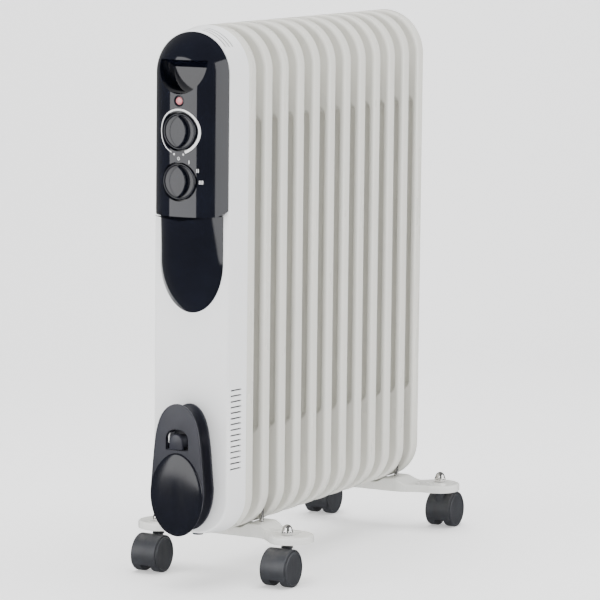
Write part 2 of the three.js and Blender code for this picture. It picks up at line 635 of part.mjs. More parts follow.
// ---------- cord winder ----------
function winderOutline(inset) {
  const half = WINDER_HALF_WIDTH - inset;
  const steps = 12;
  return ellipseOutline(half, WINDER_MIDDLE, WINDER_DOWN - inset, steps).map((point, i) => {
    if (i > steps) return point;
    const rise = Math.sin(i * Math.PI / steps);
    const width = (half - WINDER_TAPER * rise) * Math.sqrt(1 - rise ** 6);
    return new THREE.Vector2(Math.sign(point.x) * width, WINDER_MIDDLE + (WINDER_UP - inset) * rise);
  });
}

function windowOutline(inset) {
  const half = WINDOW_HALF_WIDTH - inset;
  return roundedOutline(half, WINDOW_LOW + inset, WINDOW_HIGH - inset, half * 0.8, 1, 4, 1);
}

function winderPlate() {
  const low = WINDER_MIDDLE - WINDER_DOWN + WINDER_HALF_WIDTH;
  const cupTop = WINDOW_LOW - 3;
  const cupMiddle = (cupTop + WINDER_MIDDLE - WINDER_DOWN) / 2;
  const cupHalf = cupTop - cupMiddle;
  const cup = layeredX(ellipseOutline(WINDER_HALF_WIDTH - 1.5, cupMiddle, cupHalf, 12), [
    [PLATE_FRONT - WINDER_BULGE, 15],
    [PLATE_FRONT - 0.8 * WINDER_BULGE, 7],
    [PLATE_FRONT - 0.3 * WINDER_BULGE, 1.5],
    [PLATE_FRONT + 0.5, 0],
  ], low, cupTop - WINDER_HALF_WIDTH);
  return slabX(winderOutline(0), PLATE_FRONT, PLATE_BACK).add(cup)
    .subtract(slabX(windowOutline(0), PLATE_FRONT - 9, PLATE_BACK + 1));
}

function winderSpool() {
  const front = PLATE_BACK + GAP;
  const back = SHELL_FRONT - GAP;
  return slabX(winderOutline(SPOOL_INSET), front, back)
    .add(slabX(winderOutline(3), back - SPOOL_FLANGE, back))
    .subtract(slabX(windowOutline(0.5), front - 1, front + CLIP_SEAT));
}

function winderClip() {
  const half = 8;
  const low = WINDOW_LOW + 1;
  const outline = roundedOutline(half, low, low + 17, half, 0.5, 5, 1);
  return slabX(outline, PLATE_FRONT - 3, PLATE_BACK + CLIP_SEAT);
}

add('winder_plate', winderPlate(), SATIN_BLACK);
add('winder_spool', winderSpool(), SATIN_BLACK);
add('winder_clip', winderClip(), SATIN_BLACK);

// ---------- feet ----------
// Right and left edge of the stamped foot at one distance from the middle line, outwards from the U-bolt.
function footEdges(y) {
  const swell = smoothStep((y - PADDLE_START) / PADDLE_BLEND);
  const tip = Math.max((y - PADDLE_ROUND) / (FOOT_HALF_SPAN - PADDLE_ROUND), 0);
  const half = (SADDLE_HALF_LENGTH + PADDLE_SWELL * swell) * Math.sqrt(1 - tip ** 2.6);
  return [PADDLE_OUT * swell + half, PADDLE_OUT * swell - half];
}

function footOutline(boltX, outward, inset) {
  const steps = 11;
  const outer = [];
  const inner = [];
  for (let i = 0; i <= steps; i++) {
    const y = PADDLE_START + (FOOT_HALF_SPAN - PADDLE_START) * Math.sin(i / steps * Math.PI / 2);
    const [far, near] = footEdges(y);
    outer.push([far, y]);
    if (i < steps) inner.push([near, y]);
  }
  const half = [...outer, ...inner.reverse()];
  const ring = [...half, ...half.map(([u, y]) => [u, -y]).reverse()];
  const moved = ring.map(([u, y], i) => {
    const [u0, y0] = ring[(i + ring.length - 1) % ring.length];
    const [u1, y1] = ring[(i + 1) % ring.length];
    const length = Math.hypot(u1 - u0, y1 - y0);
    return new THREE.Vector2(u - (y1 - y0) / length * inset, y + (u1 - u0) / length * inset);
  });
  const points = moved.map((point) => new THREE.Vector2(boltX + outward * point.x, point.y));
  return THREE.ShapeUtils.isClockWise(points) ? points.reverse() : points;
}

// The saddle across the fins: low in the middle, its ends raised beside the fins' rounded undersides.
function saddle(boltX, inset, under) {
  const length = SADDLE_HALF_LENGTH - inset;
  const end = SADDLE_HALF_WIDTH - inset;
  const right = [[0, 0], [CRADLE_FLAT, 0]];
  for (const share of [0.3, 0.5, 0.7, 1]) right.push([CRADLE_FLAT + share * CRADLE_SLOPE, smoothStep(share)]);
  const top = right.map(([y, rise]) => [y, CRADLE_TOP + (SADDLE_TOP - CRADLE_TOP) * rise - inset]);
  top.push([end, SADDLE_TOP - inset]);
  const half = [...top.slice(1), [end, under]];
  const ring = [...half.map(([y, z]) => [-y, z]), ...half.reverse()];
  return slabX(ring.map(([y, z]) => new THREE.Vector2(y, z)).reverse(), boltX - length, boltX + length);
}

function foot(boltX, outward) {
  const sheet = FOOT_SHEET;
  const outer = slabZ(footOutline(boltX, outward, 0), FOOT_UNDER, PADDLE_TOP).add(saddle(boltX, 0, FOOT_UNDER));
  const inner = slabZ(footOutline(boltX, outward, sheet), FOOT_UNDER - 1, PADDLE_TOP - sheet)
    .add(saddle(boltX, sheet, FOOT_UNDER - 1));
  let body = outer.subtract(inner);
  for (const side of [-1, 1]) {
    body = body.subtract(rodZ(BOLT_ROD + GAP, 0, SADDLE_TOP + 1, boltX, side * BOLT_HALF_SPAN, 12));
    const stemX = boltX + outward * CASTER_OUT;
    body = body.subtract(rodZ(STUD_RADIUS + GAP, 0, SADDLE_TOP + 1, stemX, side * CASTER_SIDE, 12));
  }
  return body;
}

add('front_foot', foot(FRONT_BOLT, -1), SHELL_WHITE);
add('rear_foot', foot(REAR_BOLT, 1), SHELL_WHITE);

// A U-bolt hooks over the lower collar and its two tails come down through the foot.
function uBolt(boltX) {
  const hook = COLLAR_RADIUS + GAP + BOLT_ROD;
  const tail = SADDLE_TOP - FOOT_SHEET - BOLT_TAIL;
  const bend = LOW_DUCT - hook * 0.8;
  const points = [[BOLT_HALF_SPAN, tail], [BOLT_HALF_SPAN, (tail + bend) / 2], [BOLT_HALF_SPAN, bend]];
  for (let angle = 20; angle <= 160; angle += 20) {
    const turn = THREE.MathUtils.degToRad(angle);
    points.push([(hook + 0.6) * Math.cos(turn), LOW_DUCT + (hook + 0.6) * Math.sin(turn)]);
  }
  points.push([-BOLT_HALF_SPAN, bend], [-BOLT_HALF_SPAN, (tail + bend) / 2], [-BOLT_HALF_SPAN, tail]);
  const knots = points.map(([y, z]) => new THREE.Vector3(boltX, y, z));
  const curve = new THREE.CatmullRomCurve3(knots, false, 'centripetal');
  const ring = [];
  for (let i = 0; i < 8; i++) {
    const angle = i * Math.PI / 4;
    ring.push(new THREE.Vector2(BOLT_ROD * Math.cos(angle), BOLT_ROD * Math.sin(angle)));
  }
  const options = { steps: 24, extrudePath: curve, bevelEnabled: false };
  return solid(new THREE.ExtrudeGeometry(new THREE.Shape(ring), options));
}

add('front_u_bolt', uBolt(FRONT_BOLT), CHROME);
add('rear_u_bolt', uBolt(REAR_BOLT), CHROME);

function boltNut(boltX, side) {
  const top = SADDLE_TOP - FOOT_SHEET - GAP;
  return rodZ(5.2, top - 5, top, boltX, side * BOLT_HALF_SPAN, 6)
    .subtract(rodZ(BOLT_ROD + GAP, top - 8, top + 2, boltX, side * BOLT_HALF_SPAN, 12));
}

for (const [place, boltX] of [['front', FRONT_BOLT], ['rear', REAR_BOLT]]) {
  for (const [hand, side] of [['right', -1], ['left', 1]]) {
    add(`${place}_${hand}_u_bolt_nut`, boltNut(boltX, side), STEEL);
  }
}

// ---------- casters ----------
const HUB_Z = WHEEL_RADIUS;
const HOOD_OUTER = WHEEL_RADIUS + WHEEL_ROOM + HOOD_WALL;
const SOCKET_TOP = HUB_Z + HOOD_OUTER + 0.3;
const SOCKET_RADIUS = 7.5;

function casterHood(stemX, stemY, trail) {
  const axleX = stemX + trail;
  const half = HOOD_HALF_WIDTH;
  const cover = rodY(HOOD_OUTER, -half, half, axleX, HUB_Z, 20)
    .subtract(rodY(WHEEL_RADIUS + WHEEL_ROOM, -half - 1, half + 1, axleX, HUB_Z, 20))
    .subtract(box(axleX - PAST, axleX + PAST, -PAST, PAST, -PAST, HUB_Z * HOOD_SKIRT));
  const web = rodY(WHEEL_RADIUS + 1, -WEB_HALF, WEB_HALF, axleX, HUB_Z, 20)
    .subtract(box(axleX - PAST, axleX + PAST, -PAST, PAST, -PAST, HUB_Z * WEB_SKIRT));
  const reach = WEB_HALF + GAP + WHEEL_WIDTH - 1.6;
  const socket = rodZ(SOCKET_RADIUS, HUB_Z + 6, SOCKET_TOP, stemX, 0, 16);
  const wheelRoom = rodY(WHEEL_RADIUS + WHEEL_ROOM, WEB_HALF, 30, axleX, HUB_Z, 20)
    .add(rodY(WHEEL_RADIUS + WHEEL_ROOM, -30, -WEB_HALF, axleX, HUB_Z, 20));
  return cover.add(web).add(socket.subtract(wheelRoom)).add(rodY(AXLE_RADIUS, -reach, reach, axleX, HUB_Z, 12))
    .subtract(rodZ(STEM_RADIUS + RUN, HUB_Z + AXLE_RADIUS + 4.5, SOCKET_TOP + 5, stemX, 0, 16))
    .translate([0, stemY, 0]);
}

function casterWheel(axleX, stemY, side) {
  const near = WEB_HALF + GAP;
  const far = near + WHEEL_WIDTH;
  const blank = new THREE.LatheGeometry([
    [0, near], [WHEEL_RADIUS, near], [WHEEL_RADIUS, far - 1.5], [WHEEL_RADIUS - 1.5, far], [0, far],
  ].map(([radius, y]) => new THREE.Vector2(radius, y)), 20);
  const turned = side > 0 ? blank : blank.rotateX(Math.PI);
  const inner = Math.min(side * (near - 1), side * (far - 1.4));
  const outer = Math.max(side * (near - 1), side * (far - 1.4));
  return solid(turned.translate(axleX, 0, HUB_Z))
    .subtract(rodY(AXLE_RADIUS + RUN, inner, outer, axleX, HUB_Z, 12))
    .translate([0, stemY, 0]);
}

function casterStem(stemX, stemY) {
  const plateUnder = PADDLE_TOP - FOOT_SHEET;
  return turnedZ([
    [0, HUB_Z + AXLE_RADIUS + 5], [STEM_RADIUS, HUB_Z + AXLE_RADIUS + 5], [STEM_RADIUS, SOCKET_TOP + GAP],
    [COLLAR_NUT, SOCKET_TOP + GAP], [COLLAR_NUT, plateUnder - GAP], [STUD_RADIUS, plateUnder - GAP],
    [STUD_RADIUS, PADDLE_TOP + STUD_RISE], [0, PADDLE_TOP + STUD_RISE],
  ], stemX, stemY, 12);
}

function capNut(stemX, stemY) {
  const base = PADDLE_TOP + GAP;
  const domeBase = base + CAP_HEX_HIGH - 1;
  const dome = [[0, domeBase], [CAP_DOME, domeBase]];
  for (let i = 1; i <= 4; i++) {
    const angle = i * Math.PI / 8;
    dome.push([CAP_DOME * Math.cos(angle), domeBase + (CAP_HIGH - CAP_HEX_HIGH + 1) * Math.sin(angle)]);
  }
  dome[dome.length - 1][0] = 0;
  return rodZ(CAP_HEX, base, base + CAP_HEX_HIGH, stemX, stemY, 6)
    .add(turnedZ(dome, stemX, stemY, 12))
    .subtract(rodZ(STUD_RADIUS + 2 * GAP, base - 1, PADDLE_TOP + STUD_RISE + GAP, stemX, stemY, 8));
}

for (const [place, boltX, outward] of [['front', FRONT_BOLT, -1], ['rear', REAR_BOLT, 1]]) {
  for (const [hand, side] of [['right', -1], ['left', 1]]) {
    const stemX = boltX + outward * CASTER_OUT;
    const stemY = side * CASTER_SIDE;
    const trail = outward * TRAIL;
    const corner = `${place}_${hand}`;
    add(`${corner}_caster_stem`, casterStem(stemX, stemY), SATIN_BLACK);
    add(`${corner}_cap_nut`, capNut(stemX, stemY), CHROME);
    add(`${corner}_caster_hood`, casterHood(stemX, stemY, trail), CASTER_GREY);
    add(`${corner}_wheel_inner`, casterWheel(stemX + trail, stemY, -side), CASTER_GREY);
    add(`${corner}_wheel_outer`, casterWheel(stemX + trail, stemY, side), CASTER_GREY);
  }
}

// ---------- assembly, centred over the middle of its length ----------
const heater = new THREE.Group();
heater.add(...parts);
const bounds = new THREE.Box3().setFromObject(heater);
heater.position.x = -(bounds.min.x + bounds.max.x) / 2;

export default heater;
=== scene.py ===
"""Builds the finished oil filled radiator heater over its CAD frame.

The file is laid out as an add-on: sizes and colours are properties, every piece or group of like
pieces is an operator, and main() runs them in order. Lengths are metres, +Z is up, the fin row
runs along X with the control end at -X.
"""
import math

import bmesh
import bpy
from bpy.props import FloatProperty, FloatVectorProperty, IntProperty, PointerProperty
from mathutils import Matrix, Vector


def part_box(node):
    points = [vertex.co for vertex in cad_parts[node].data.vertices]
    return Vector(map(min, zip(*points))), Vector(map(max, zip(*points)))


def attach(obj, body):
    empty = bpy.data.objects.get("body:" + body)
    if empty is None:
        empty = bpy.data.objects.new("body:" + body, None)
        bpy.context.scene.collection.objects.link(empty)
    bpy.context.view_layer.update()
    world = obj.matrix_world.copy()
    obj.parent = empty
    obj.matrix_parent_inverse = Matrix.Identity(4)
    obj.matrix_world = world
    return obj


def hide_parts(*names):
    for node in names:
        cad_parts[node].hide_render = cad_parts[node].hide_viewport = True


bl_info = {
    "name": "Oil Filled Radiator Heater",
    "version": (1, 0, 0),
    "blender": (4, 5, 0),
    "location": "View3D > Sidebar > Heater",
    "description": "Builds the fins, housing, controls, cord winder, feet and casters of a heater",
    "category": "Object",
}

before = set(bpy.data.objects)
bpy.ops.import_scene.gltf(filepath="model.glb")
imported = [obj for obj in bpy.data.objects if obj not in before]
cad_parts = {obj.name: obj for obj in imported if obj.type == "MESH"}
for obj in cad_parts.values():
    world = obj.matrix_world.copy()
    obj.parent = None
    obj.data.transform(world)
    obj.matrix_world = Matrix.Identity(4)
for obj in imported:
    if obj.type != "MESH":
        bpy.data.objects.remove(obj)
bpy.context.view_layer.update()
FINS = sorted(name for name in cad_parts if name.startswith("fin_"))
CORNERS = ("front_right", "front_left", "rear_right", "rear_left")
ROOT = "heater"
MM = 0.001


# ---------------------------------------------------------------- properties
def length(name, description, millimetres):
    """A distance property whose default is given in millimetres."""
    return FloatProperty(name=name, description=description, default=millimetres * MM,
                         unit="LENGTH", subtype="DISTANCE", precision=4)


def colour(name, description, red, green, blue):
    """A colour property."""
    return FloatVectorProperty(name=name, description=description, size=3, subtype="COLOR",
                               min=0.0, max=1.0, default=(red, green, blue))


class FinSizes(bpy.types.PropertyGroup):
    """Sizes of the pressed fins."""
    rim: length("Rim width", "Width of the rolled rim along the fin row", 17.5)
    rounding: length("Rim rounding", "Radius of the rim's two long edges", 3.2)
    bottom_radius: length("Bottom radius", "Radius of the two lower corners", 44)
    channel_middle: length("Channel middle", "Side channel's middle line from the fin's middle", 37)
    channel_width: length("Channel width", "Width of a side channel", 17)
    channel_depth: length("Channel depth", "How deep a side channel is pressed in", 5.7)
    channel_rise: length("Channel rise", "Side channel's lower end above the fin's foot", 110)
    channel_drop: length("Channel drop", "Side channel's upper end below the fin's top", 100)
    flute_depth: length("Flute depth", "How deep the grooves between the oil columns are", 2.0)
    collar_radius: length("Collar radius", "Outside radius of the oil duct collars", 22)
    collar_rise: length("Low duct", "Lower oil duct's middle above the fin's foot", 51)
    collar_drop: length("High duct", "Upper oil duct's middle below the fin's top", 52)


class HousingSizes(bpy.types.PropertyGroup):
    """Sizes of the white control housing."""
    wall: length("Wall", "Wall thickness of the housing", 2.2)
    draft: length("Draft", "How much smaller the front outline is all round", 4.6)
    edge: length("Front edge", "Rounding of the front edge", 2.6)
    bottom_radius: length("Bottom radius", "Radius of the lower corners", 44)
    slit_lowest: length("Lowest slit", "Height of the lowest louvre slit", 134)
    slit_pitch: length("Slit pitch", "Distance from slit to slit", 6.2)
    slit_height: length("Slit height", "Opening of one slit", 1.7)
    slit_length: length("Slit length", "Length of one slit", 19)
    slit_count: IntProperty(name="Slits", description="Louvre slits in each side", default=15, min=1)
    crown_first: length("First crown vent", "First crown vent's middle behind the housing's front", 6.2)
    crown_pitch: length("Crown vent pitch", "Distance from crown vent to crown vent", 5.6)
    crown_slot: length("Crown vent width", "Width of one crown vent", 2.3)
    crown_drop: length("Crown vent drop", "Crown vents' lower ends below the housing's top", 22)
    crown_slots: IntProperty(name="Crown vents", description="Vents on each side of the crown",
                             default=3, min=1)


class PanelSizes(bpy.types.PropertyGroup):
    """Sizes of the black control panel."""
    seat_radius: length("Knob seat", "Radius of the round recess behind a knob", 21)
    seat_depth: length("Seat plane", "Plane of the knob seats in front of the panel's base", 23.7)
    grip_top: length("Grip top", "Height of the hand grip's straight upper edge", 581)
    grip_half: length("Grip half width", "Half the width of the hand grip", 29)
    grip_drop: length("Grip drop", "How far the hand grip reaches down", 37)
    ring_radius: length("Dial ring", "Outer radius of the printed thermostat ring", 24.6)
    dot_radius: length("Dots", "Radius on which the thermostat's two dots stand", 25.1)
    mark_radius: length("Switch marks", "Radius on which the switch marks stand", 25)
    corner_across: length("Corner across", "Width of the slanted lower corners' slope", 7)
    corner_up: length("Corner up", "Height of the slanted lower corners", 6)
    tongue_round: length("Tongue tip", "Height of the tongue's elliptical tip", 56)
    tongue_tip_rise: length("Tongue tip rise", "How far the tongue's tip stands out of the housing", 10)


class KnobSizes(bpy.types.PropertyGroup):
    """Sizes of the two control knobs."""
    rim: length("Rim", "Width of the raised rim round the knob's face", 2.6)
    rim_rise: length("Rim rise", "How far the rim stands out of the face", 1.4)
    bar_half: length("Grip bar", "Half the width of the lens-shaped grip bar", 10)
    bar_reach: length("Bar reach", "Half the length of the grip bar", 17)
    bar_rise: length("Bar rise", "How far the grip bar stands out of the face", 5)


class WinderSizes(bpy.types.PropertyGroup):
    """Sizes of the cord winder."""
    widest: length("Widest line", "Height of the winder's widest line", 112)
    taper: length("Taper", "How much narrower the plate grows towards its top", 8)
    cup_top: length("Cup top", "Height of the cup's upper edge", 154)
    window_half: length("Window half width", "Half the width of the window", 14)
    window_low: length("Window bottom", "Height of the window's lower edge", 157)
    window_high: length("Window top", "Height of the window's upper edge", 180)


class FootSizes(bpy.types.PropertyGroup):
    """Sizes of the stamped feet."""
    paddle_top: length("Paddle top", "Height of the paddles' upper face", 55)
    sheet: length("Sheet", "Thickness of the stamped sheet", 2)
    shoulder: length("Shoulder", "Rounding from the face to the turned-down edge", 2.4)
    strip_half: length("Strip half width", "Half the width of the strip between the paddles", 20)
    paddle_start: length("Paddle start", "Distance from the middle where the strip begins to swell", 44)
    paddle_blend: length("Paddle blend", "Length over which the strip swells", 34)
    paddle_out: length("Paddle offset", "Paddle's middle line outwards from the U-bolt", 18)
    paddle_swell: length("Paddle swell", "How much wider the paddle is on each side", 6.5)
    paddle_round: length("Paddle tip", "Distance from the middle where the rounded tip begins", 76)
    cradle_drop: length("Cradle drop", "How much lower the saddle is in its middle", 5)
    rod: length("U-bolt rod", "Radius of the U-bolt's rod", 2.5)
    bolt_half_span: length("U-bolt half span", "U-bolt leg's middle from the middle line", 36)


class CasterSizes(bpy.types.PropertyGroup):
    """Sizes of the twin-wheel casters."""
    web_half: length("Web half width", "Half the width of the web between the wheels", 5.6)
    hood_wall: length("Hood wall", "Wall thickness of the hood", 1.5)


class FinishColours(bpy.types.PropertyGroup):
    """Colours of the finishes, in linear light."""
    enamel: colour("Fin enamel", "Light warm grey enamel on the fins", 0.70, 0.692, 0.64)
    foot: colour("Foot enamel", "Off-white enamel on the feet", 0.74, 0.74, 0.71)
    white: colour("Housing white", "White moulded plastic", 0.84, 0.845, 0.85)
    panel: colour("Panel black", "Gloss black plastic with a blue cast", 0.004, 0.005, 0.010)
    satin: colour("Satin black", "Fine-grained dark plastic of the winder", 0.020, 0.021, 0.031)
    caster: colour("Caster grey", "Dark grey nylon", 0.028, 0.030, 0.036)
    lamp: colour("Lamp", "Pinkish red lens", 0.62, 0.20, 0.22)


class StageSettings(bpy.types.PropertyGroup):
    """Camera and studio light."""
    camera_yaw: FloatProperty(name="Camera yaw", description="Turn of the view from the fin row's axis",
                              default=0.4855075, subtype="ANGLE")
    camera_pitch: FloatProperty(name="Camera pitch", description="How far the view looks down",
                                default=0.1285931, subtype="ANGLE")
    camera_roll: FloatProperty(name="Camera roll", description="Roll of the view", default=0.0109191,
                               subtype="ANGLE")
    room_light: FloatProperty(name="Room light", description="Strength of the even light from all around",
                              default=0.2, min=0.0)
    lens: FloatProperty(name="Lens", description="Focal length on a 36 mm sensor", default=222.188,
                        unit="CAMERA", min=1.0)


# ---------------------------------------------------------------- effects
def effect_group(name, inputs, outputs):
    """Starts a shader node group with named sockets. Returns it with its input and output nodes."""
    tree = bpy.data.node_groups.new(name, "ShaderNodeTree")
    for label, kind, default in inputs:
        socket = tree.interface.new_socket(name=label, in_out="INPUT", socket_type=kind)
        if default is not None:
            socket.default_value = default
    for label, kind in outputs:
        tree.interface.new_socket(name=label, in_out="OUTPUT", socket_type=kind)
    start = tree.nodes.new("NodeGroupInput")
    end = tree.nodes.new("NodeGroupOutput")
    return tree, start, end


def noise(tree, vector, scale, detail, roughness=0.55):
    """A noise texture in a tree; scale may be a socket or a number."""
    node = tree.nodes.new("ShaderNodeTexNoise")
    node.inputs["Detail"].default_value = detail
    node.inputs["Roughness"].default_value = roughness
    tree.links.new(vector, node.inputs["Vector"])
    if isinstance(scale, (int, float)):
        node.inputs["Scale"].default_value = scale
    else:
        tree.links.new(scale, node.inputs["Scale"])
    return node.outputs["Fac"]


def spread(tree, value, low, high, to_low=0.0, to_high=1.0):
    """Maps a value's range onto another, with a smooth start and end."""
    node = tree.nodes.new("ShaderNodeMapRange")
    node.interpolation_type = "SMOOTHSTEP"
    for label, given in (("From Min", low), ("From Max", high), ("To Min", to_low), ("To Max", to_high)):
        if isinstance(given, (int, float)):
            node.inputs[label].default_value = given
        else:
            tree.links.new(given, node.inputs[label])
    tree.links.new(value, node.inputs["Value"])
    return node.outputs["Result"]


def blend(tree, factor, first, second, kind="MIX"):
    """Mixes two colours."""
    node = tree.nodes.new("ShaderNodeMix")
    node.data_type = "RGBA"
    node.blend_type = kind
    for socket, given in ((node.inputs[0], factor), (node.inputs[6], first), (node.inputs[7], second)):
        if isinstance(given, (int, float, tuple)):
            socket.default_value = given
        else:
            tree.links.new(given, socket)
    return node.outputs[2]


def build_tone_drift():
    """Two tones of one colour that drift into each other in broad soft patches and fine specks."""
    tree, start, end = effect_group("Tone drift", (
        ("Vector", "NodeSocketVector", None), ("Light", "NodeSocketColor", None),
        ("Dark", "NodeSocketColor", None), ("Patch scale", "NodeSocketFloat", 12.0),
        ("Speck scale", "NodeSocketFloat", 900.0)), (("Color", "NodeSocketColor"),))
    patches = spread(tree, noise(tree, start.outputs["Vector"], start.outputs["Patch scale"], 3.0), 0.3, 0.7)
    specks = spread(tree, noise(tree, start.outputs["Vector"], start.outputs["Speck scale"], 2.0), 0.45, 0.8)
    base = blend(tree, patches, start.outputs["Light"], start.outputs["Dark"])
    half = blend(tree, 0.5, base, start.outputs["Dark"])
    tree.links.new(blend(tree, specks, base, half), end.inputs["Color"])
    return tree


def build_gloss_drift():
    """Roughness that wanders between two values, with faint wipe marks."""
    tree, start, end = effect_group("Gloss drift", (
        ("Vector", "NodeSocketVector", None), ("Low", "NodeSocketFloat", 0.2),
        ("High", "NodeSocketFloat", 0.4), ("Scale", "NodeSocketFloat", 20.0)),
        (("Roughness", "NodeSocketFloat"),))
    wipes = tree.nodes.new("ShaderNodeMapping")
    wipes.inputs["Scale"].default_value = (1.0, 1.0, 0.25)
    wipes.inputs["Rotation"].default_value = (0.5, 0.3, 0.2)
    tree.links.new(start.outputs["Vector"], wipes.inputs["Vector"])
    value = noise(tree, wipes.outputs["Vector"], start.outputs["Scale"], 4.0)
    tree.links.new(spread(tree, value, 0.3, 0.75, start.outputs["Low"], start.outputs["High"]),
                   end.inputs["Roughness"])
    return tree


def build_surface_relief():
    """Height of a surface: broad waves of the sheet or moulding under a fine grain."""
    tree, start, end = effect_group("Surface relief", (
        ("Vector", "NodeSocketVector", None), ("Wave scale", "NodeSocketFloat", 8.0),
        ("Grain scale", "NodeSocketFloat", 600.0), ("Grain share", "NodeSocketFloat", 0.5)),
        (("Height", "NodeSocketFloat"),))
    waves = noise(tree, start.outputs["Vector"], start.outputs["Wave scale"], 1.0)
    grain = noise(tree, start.outputs["Vector"], start.outputs["Grain scale"], 3.0, 0.6)
    mix = tree.nodes.new("ShaderNodeMix")
    tree.links.new(start.outputs["Grain share"], mix.inputs[0])
    tree.links.new(waves, mix.inputs[2])
    tree.links.new(grain, mix.inputs[3])
    tree.links.new(mix.outputs[0], end.inputs["Height"])
    return tree


def build_settled_dust():
    """Mask of thin dust on faces that look up."""
    tree, start, end = effect_group("Settled dust", (
        ("Vector", "NodeSocketVector", None), ("Amount", "NodeSocketFloat", 0.3)),
        (("Mask", "NodeSocketFloat"),))
    geometry = tree.nodes.new("ShaderNodeNewGeometry")
    split = tree.nodes.new("ShaderNodeSeparateXYZ")
    tree.links.new(geometry.outputs["Normal"], split.inputs["Vector"])
    facing = spread(tree, split.outputs["Z"], 0.25, 1.0)
    patchy = spread(tree, noise(tree, start.outputs["Vector"], 60.0, 5.0, 0.7), 0.35, 0.75)
    both = tree.nodes.new("ShaderNodeMath")
    both.operation = "MULTIPLY"
    tree.links.new(facing, both.inputs[0])
    tree.links.new(patchy, both.inputs[1])
    scaled = tree.nodes.new("ShaderNodeMath")
    scaled.operation = "MULTIPLY"
    tree.links.new(both.outputs[0], scaled.inputs[0])
    tree.links.new(start.outputs["Amount"], scaled.inputs[1])
    tree.links.new(scaled.outputs[0], end.inputs["Mask"])
    return tree


EFFECTS = {}
DUST = (0.45, 0.43, 0.40, 1.0)


def effect(name, build):
    """The effect group of that name, built the first time it is asked for."""
    if name not in EFFECTS:
        EFFECTS[name] = build()
    return EFFECTS[name]


def use_effect(material, group, vector, **values):
    """Places an effect group in a material and sets its inputs."""
    node = material.node_tree.nodes.new("ShaderNodeGroup")
    node.node_tree = group
    material.node_tree.links.new(vector, node.inputs["Vector"])
    for label, value in values.items():
        node.inputs[label.replace("_", " ").capitalize()].default_value = value
    return node


def finish(name, light, shade, gloss, relief, dust=0.0, patch=12.0, speck=900.0, stretch=(1, 1, 1),
           **fixed):
    """A material: drifting tone, drifting gloss, relief and dust round a Principled shader.

    gloss is (low, high, scale); relief is (wave scale, grain scale, grain share, depth in metres);
    fixed holds plain values of the shader's own sockets.
    """
    material = bpy.data.materials.new(name)
    material.use_nodes = True
    tree = material.node_tree
    shader = tree.nodes["Principled BSDF"]
    place = tree.nodes.new("ShaderNodeTexCoord")
    mapping = tree.nodes.new("ShaderNodeMapping")
    mapping.inputs["Scale"].default_value = stretch
    tree.links.new(place.outputs["Object"], mapping.inputs["Vector"])
    vector = mapping.outputs["Vector"]
    tone = use_effect(material, effect("Tone drift", build_tone_drift), vector,
                      light=(*light, 1.0), dark=tuple(c * shade for c in light) + (1.0,),
                      patch_scale=patch, speck_scale=speck)
    base = tone.outputs["Color"]
    low, high, scale = gloss
    drift = use_effect(material, effect("Gloss drift", build_gloss_drift), vector,
                       low=low, high=high, scale=scale)
    if dust:
        mask = use_effect(material, effect("Settled dust", build_settled_dust), place.outputs["Object"],
                          amount=dust).outputs["Mask"]
        base = blend(tree, mask, base, DUST)
    tree.links.new(base, shader.inputs["Base Color"])
    tree.links.new(drift.outputs["Roughness"], shader.inputs["Roughness"])
    wave, grain, share, depth = relief
    height = use_effect(material, effect("Surface relief", build_surface_relief), vector,
                        wave_scale=wave, grain_scale=grain, grain_share=share)
    bump = tree.nodes.new("ShaderNodeBump")
    bump.inputs["Strength"].default_value = 1.0
    bump.inputs["Distance"].default_value = depth
    tree.links.new(height.outputs["Height"], bump.inputs["Height"])
    tree.links.new(bump.outputs["Normal"], shader.inputs["Normal"])
    for label, value in fixed.items():
        shader.inputs[label.replace("_", " ").title()].default_value = value
    return material


MATERIALS = {}


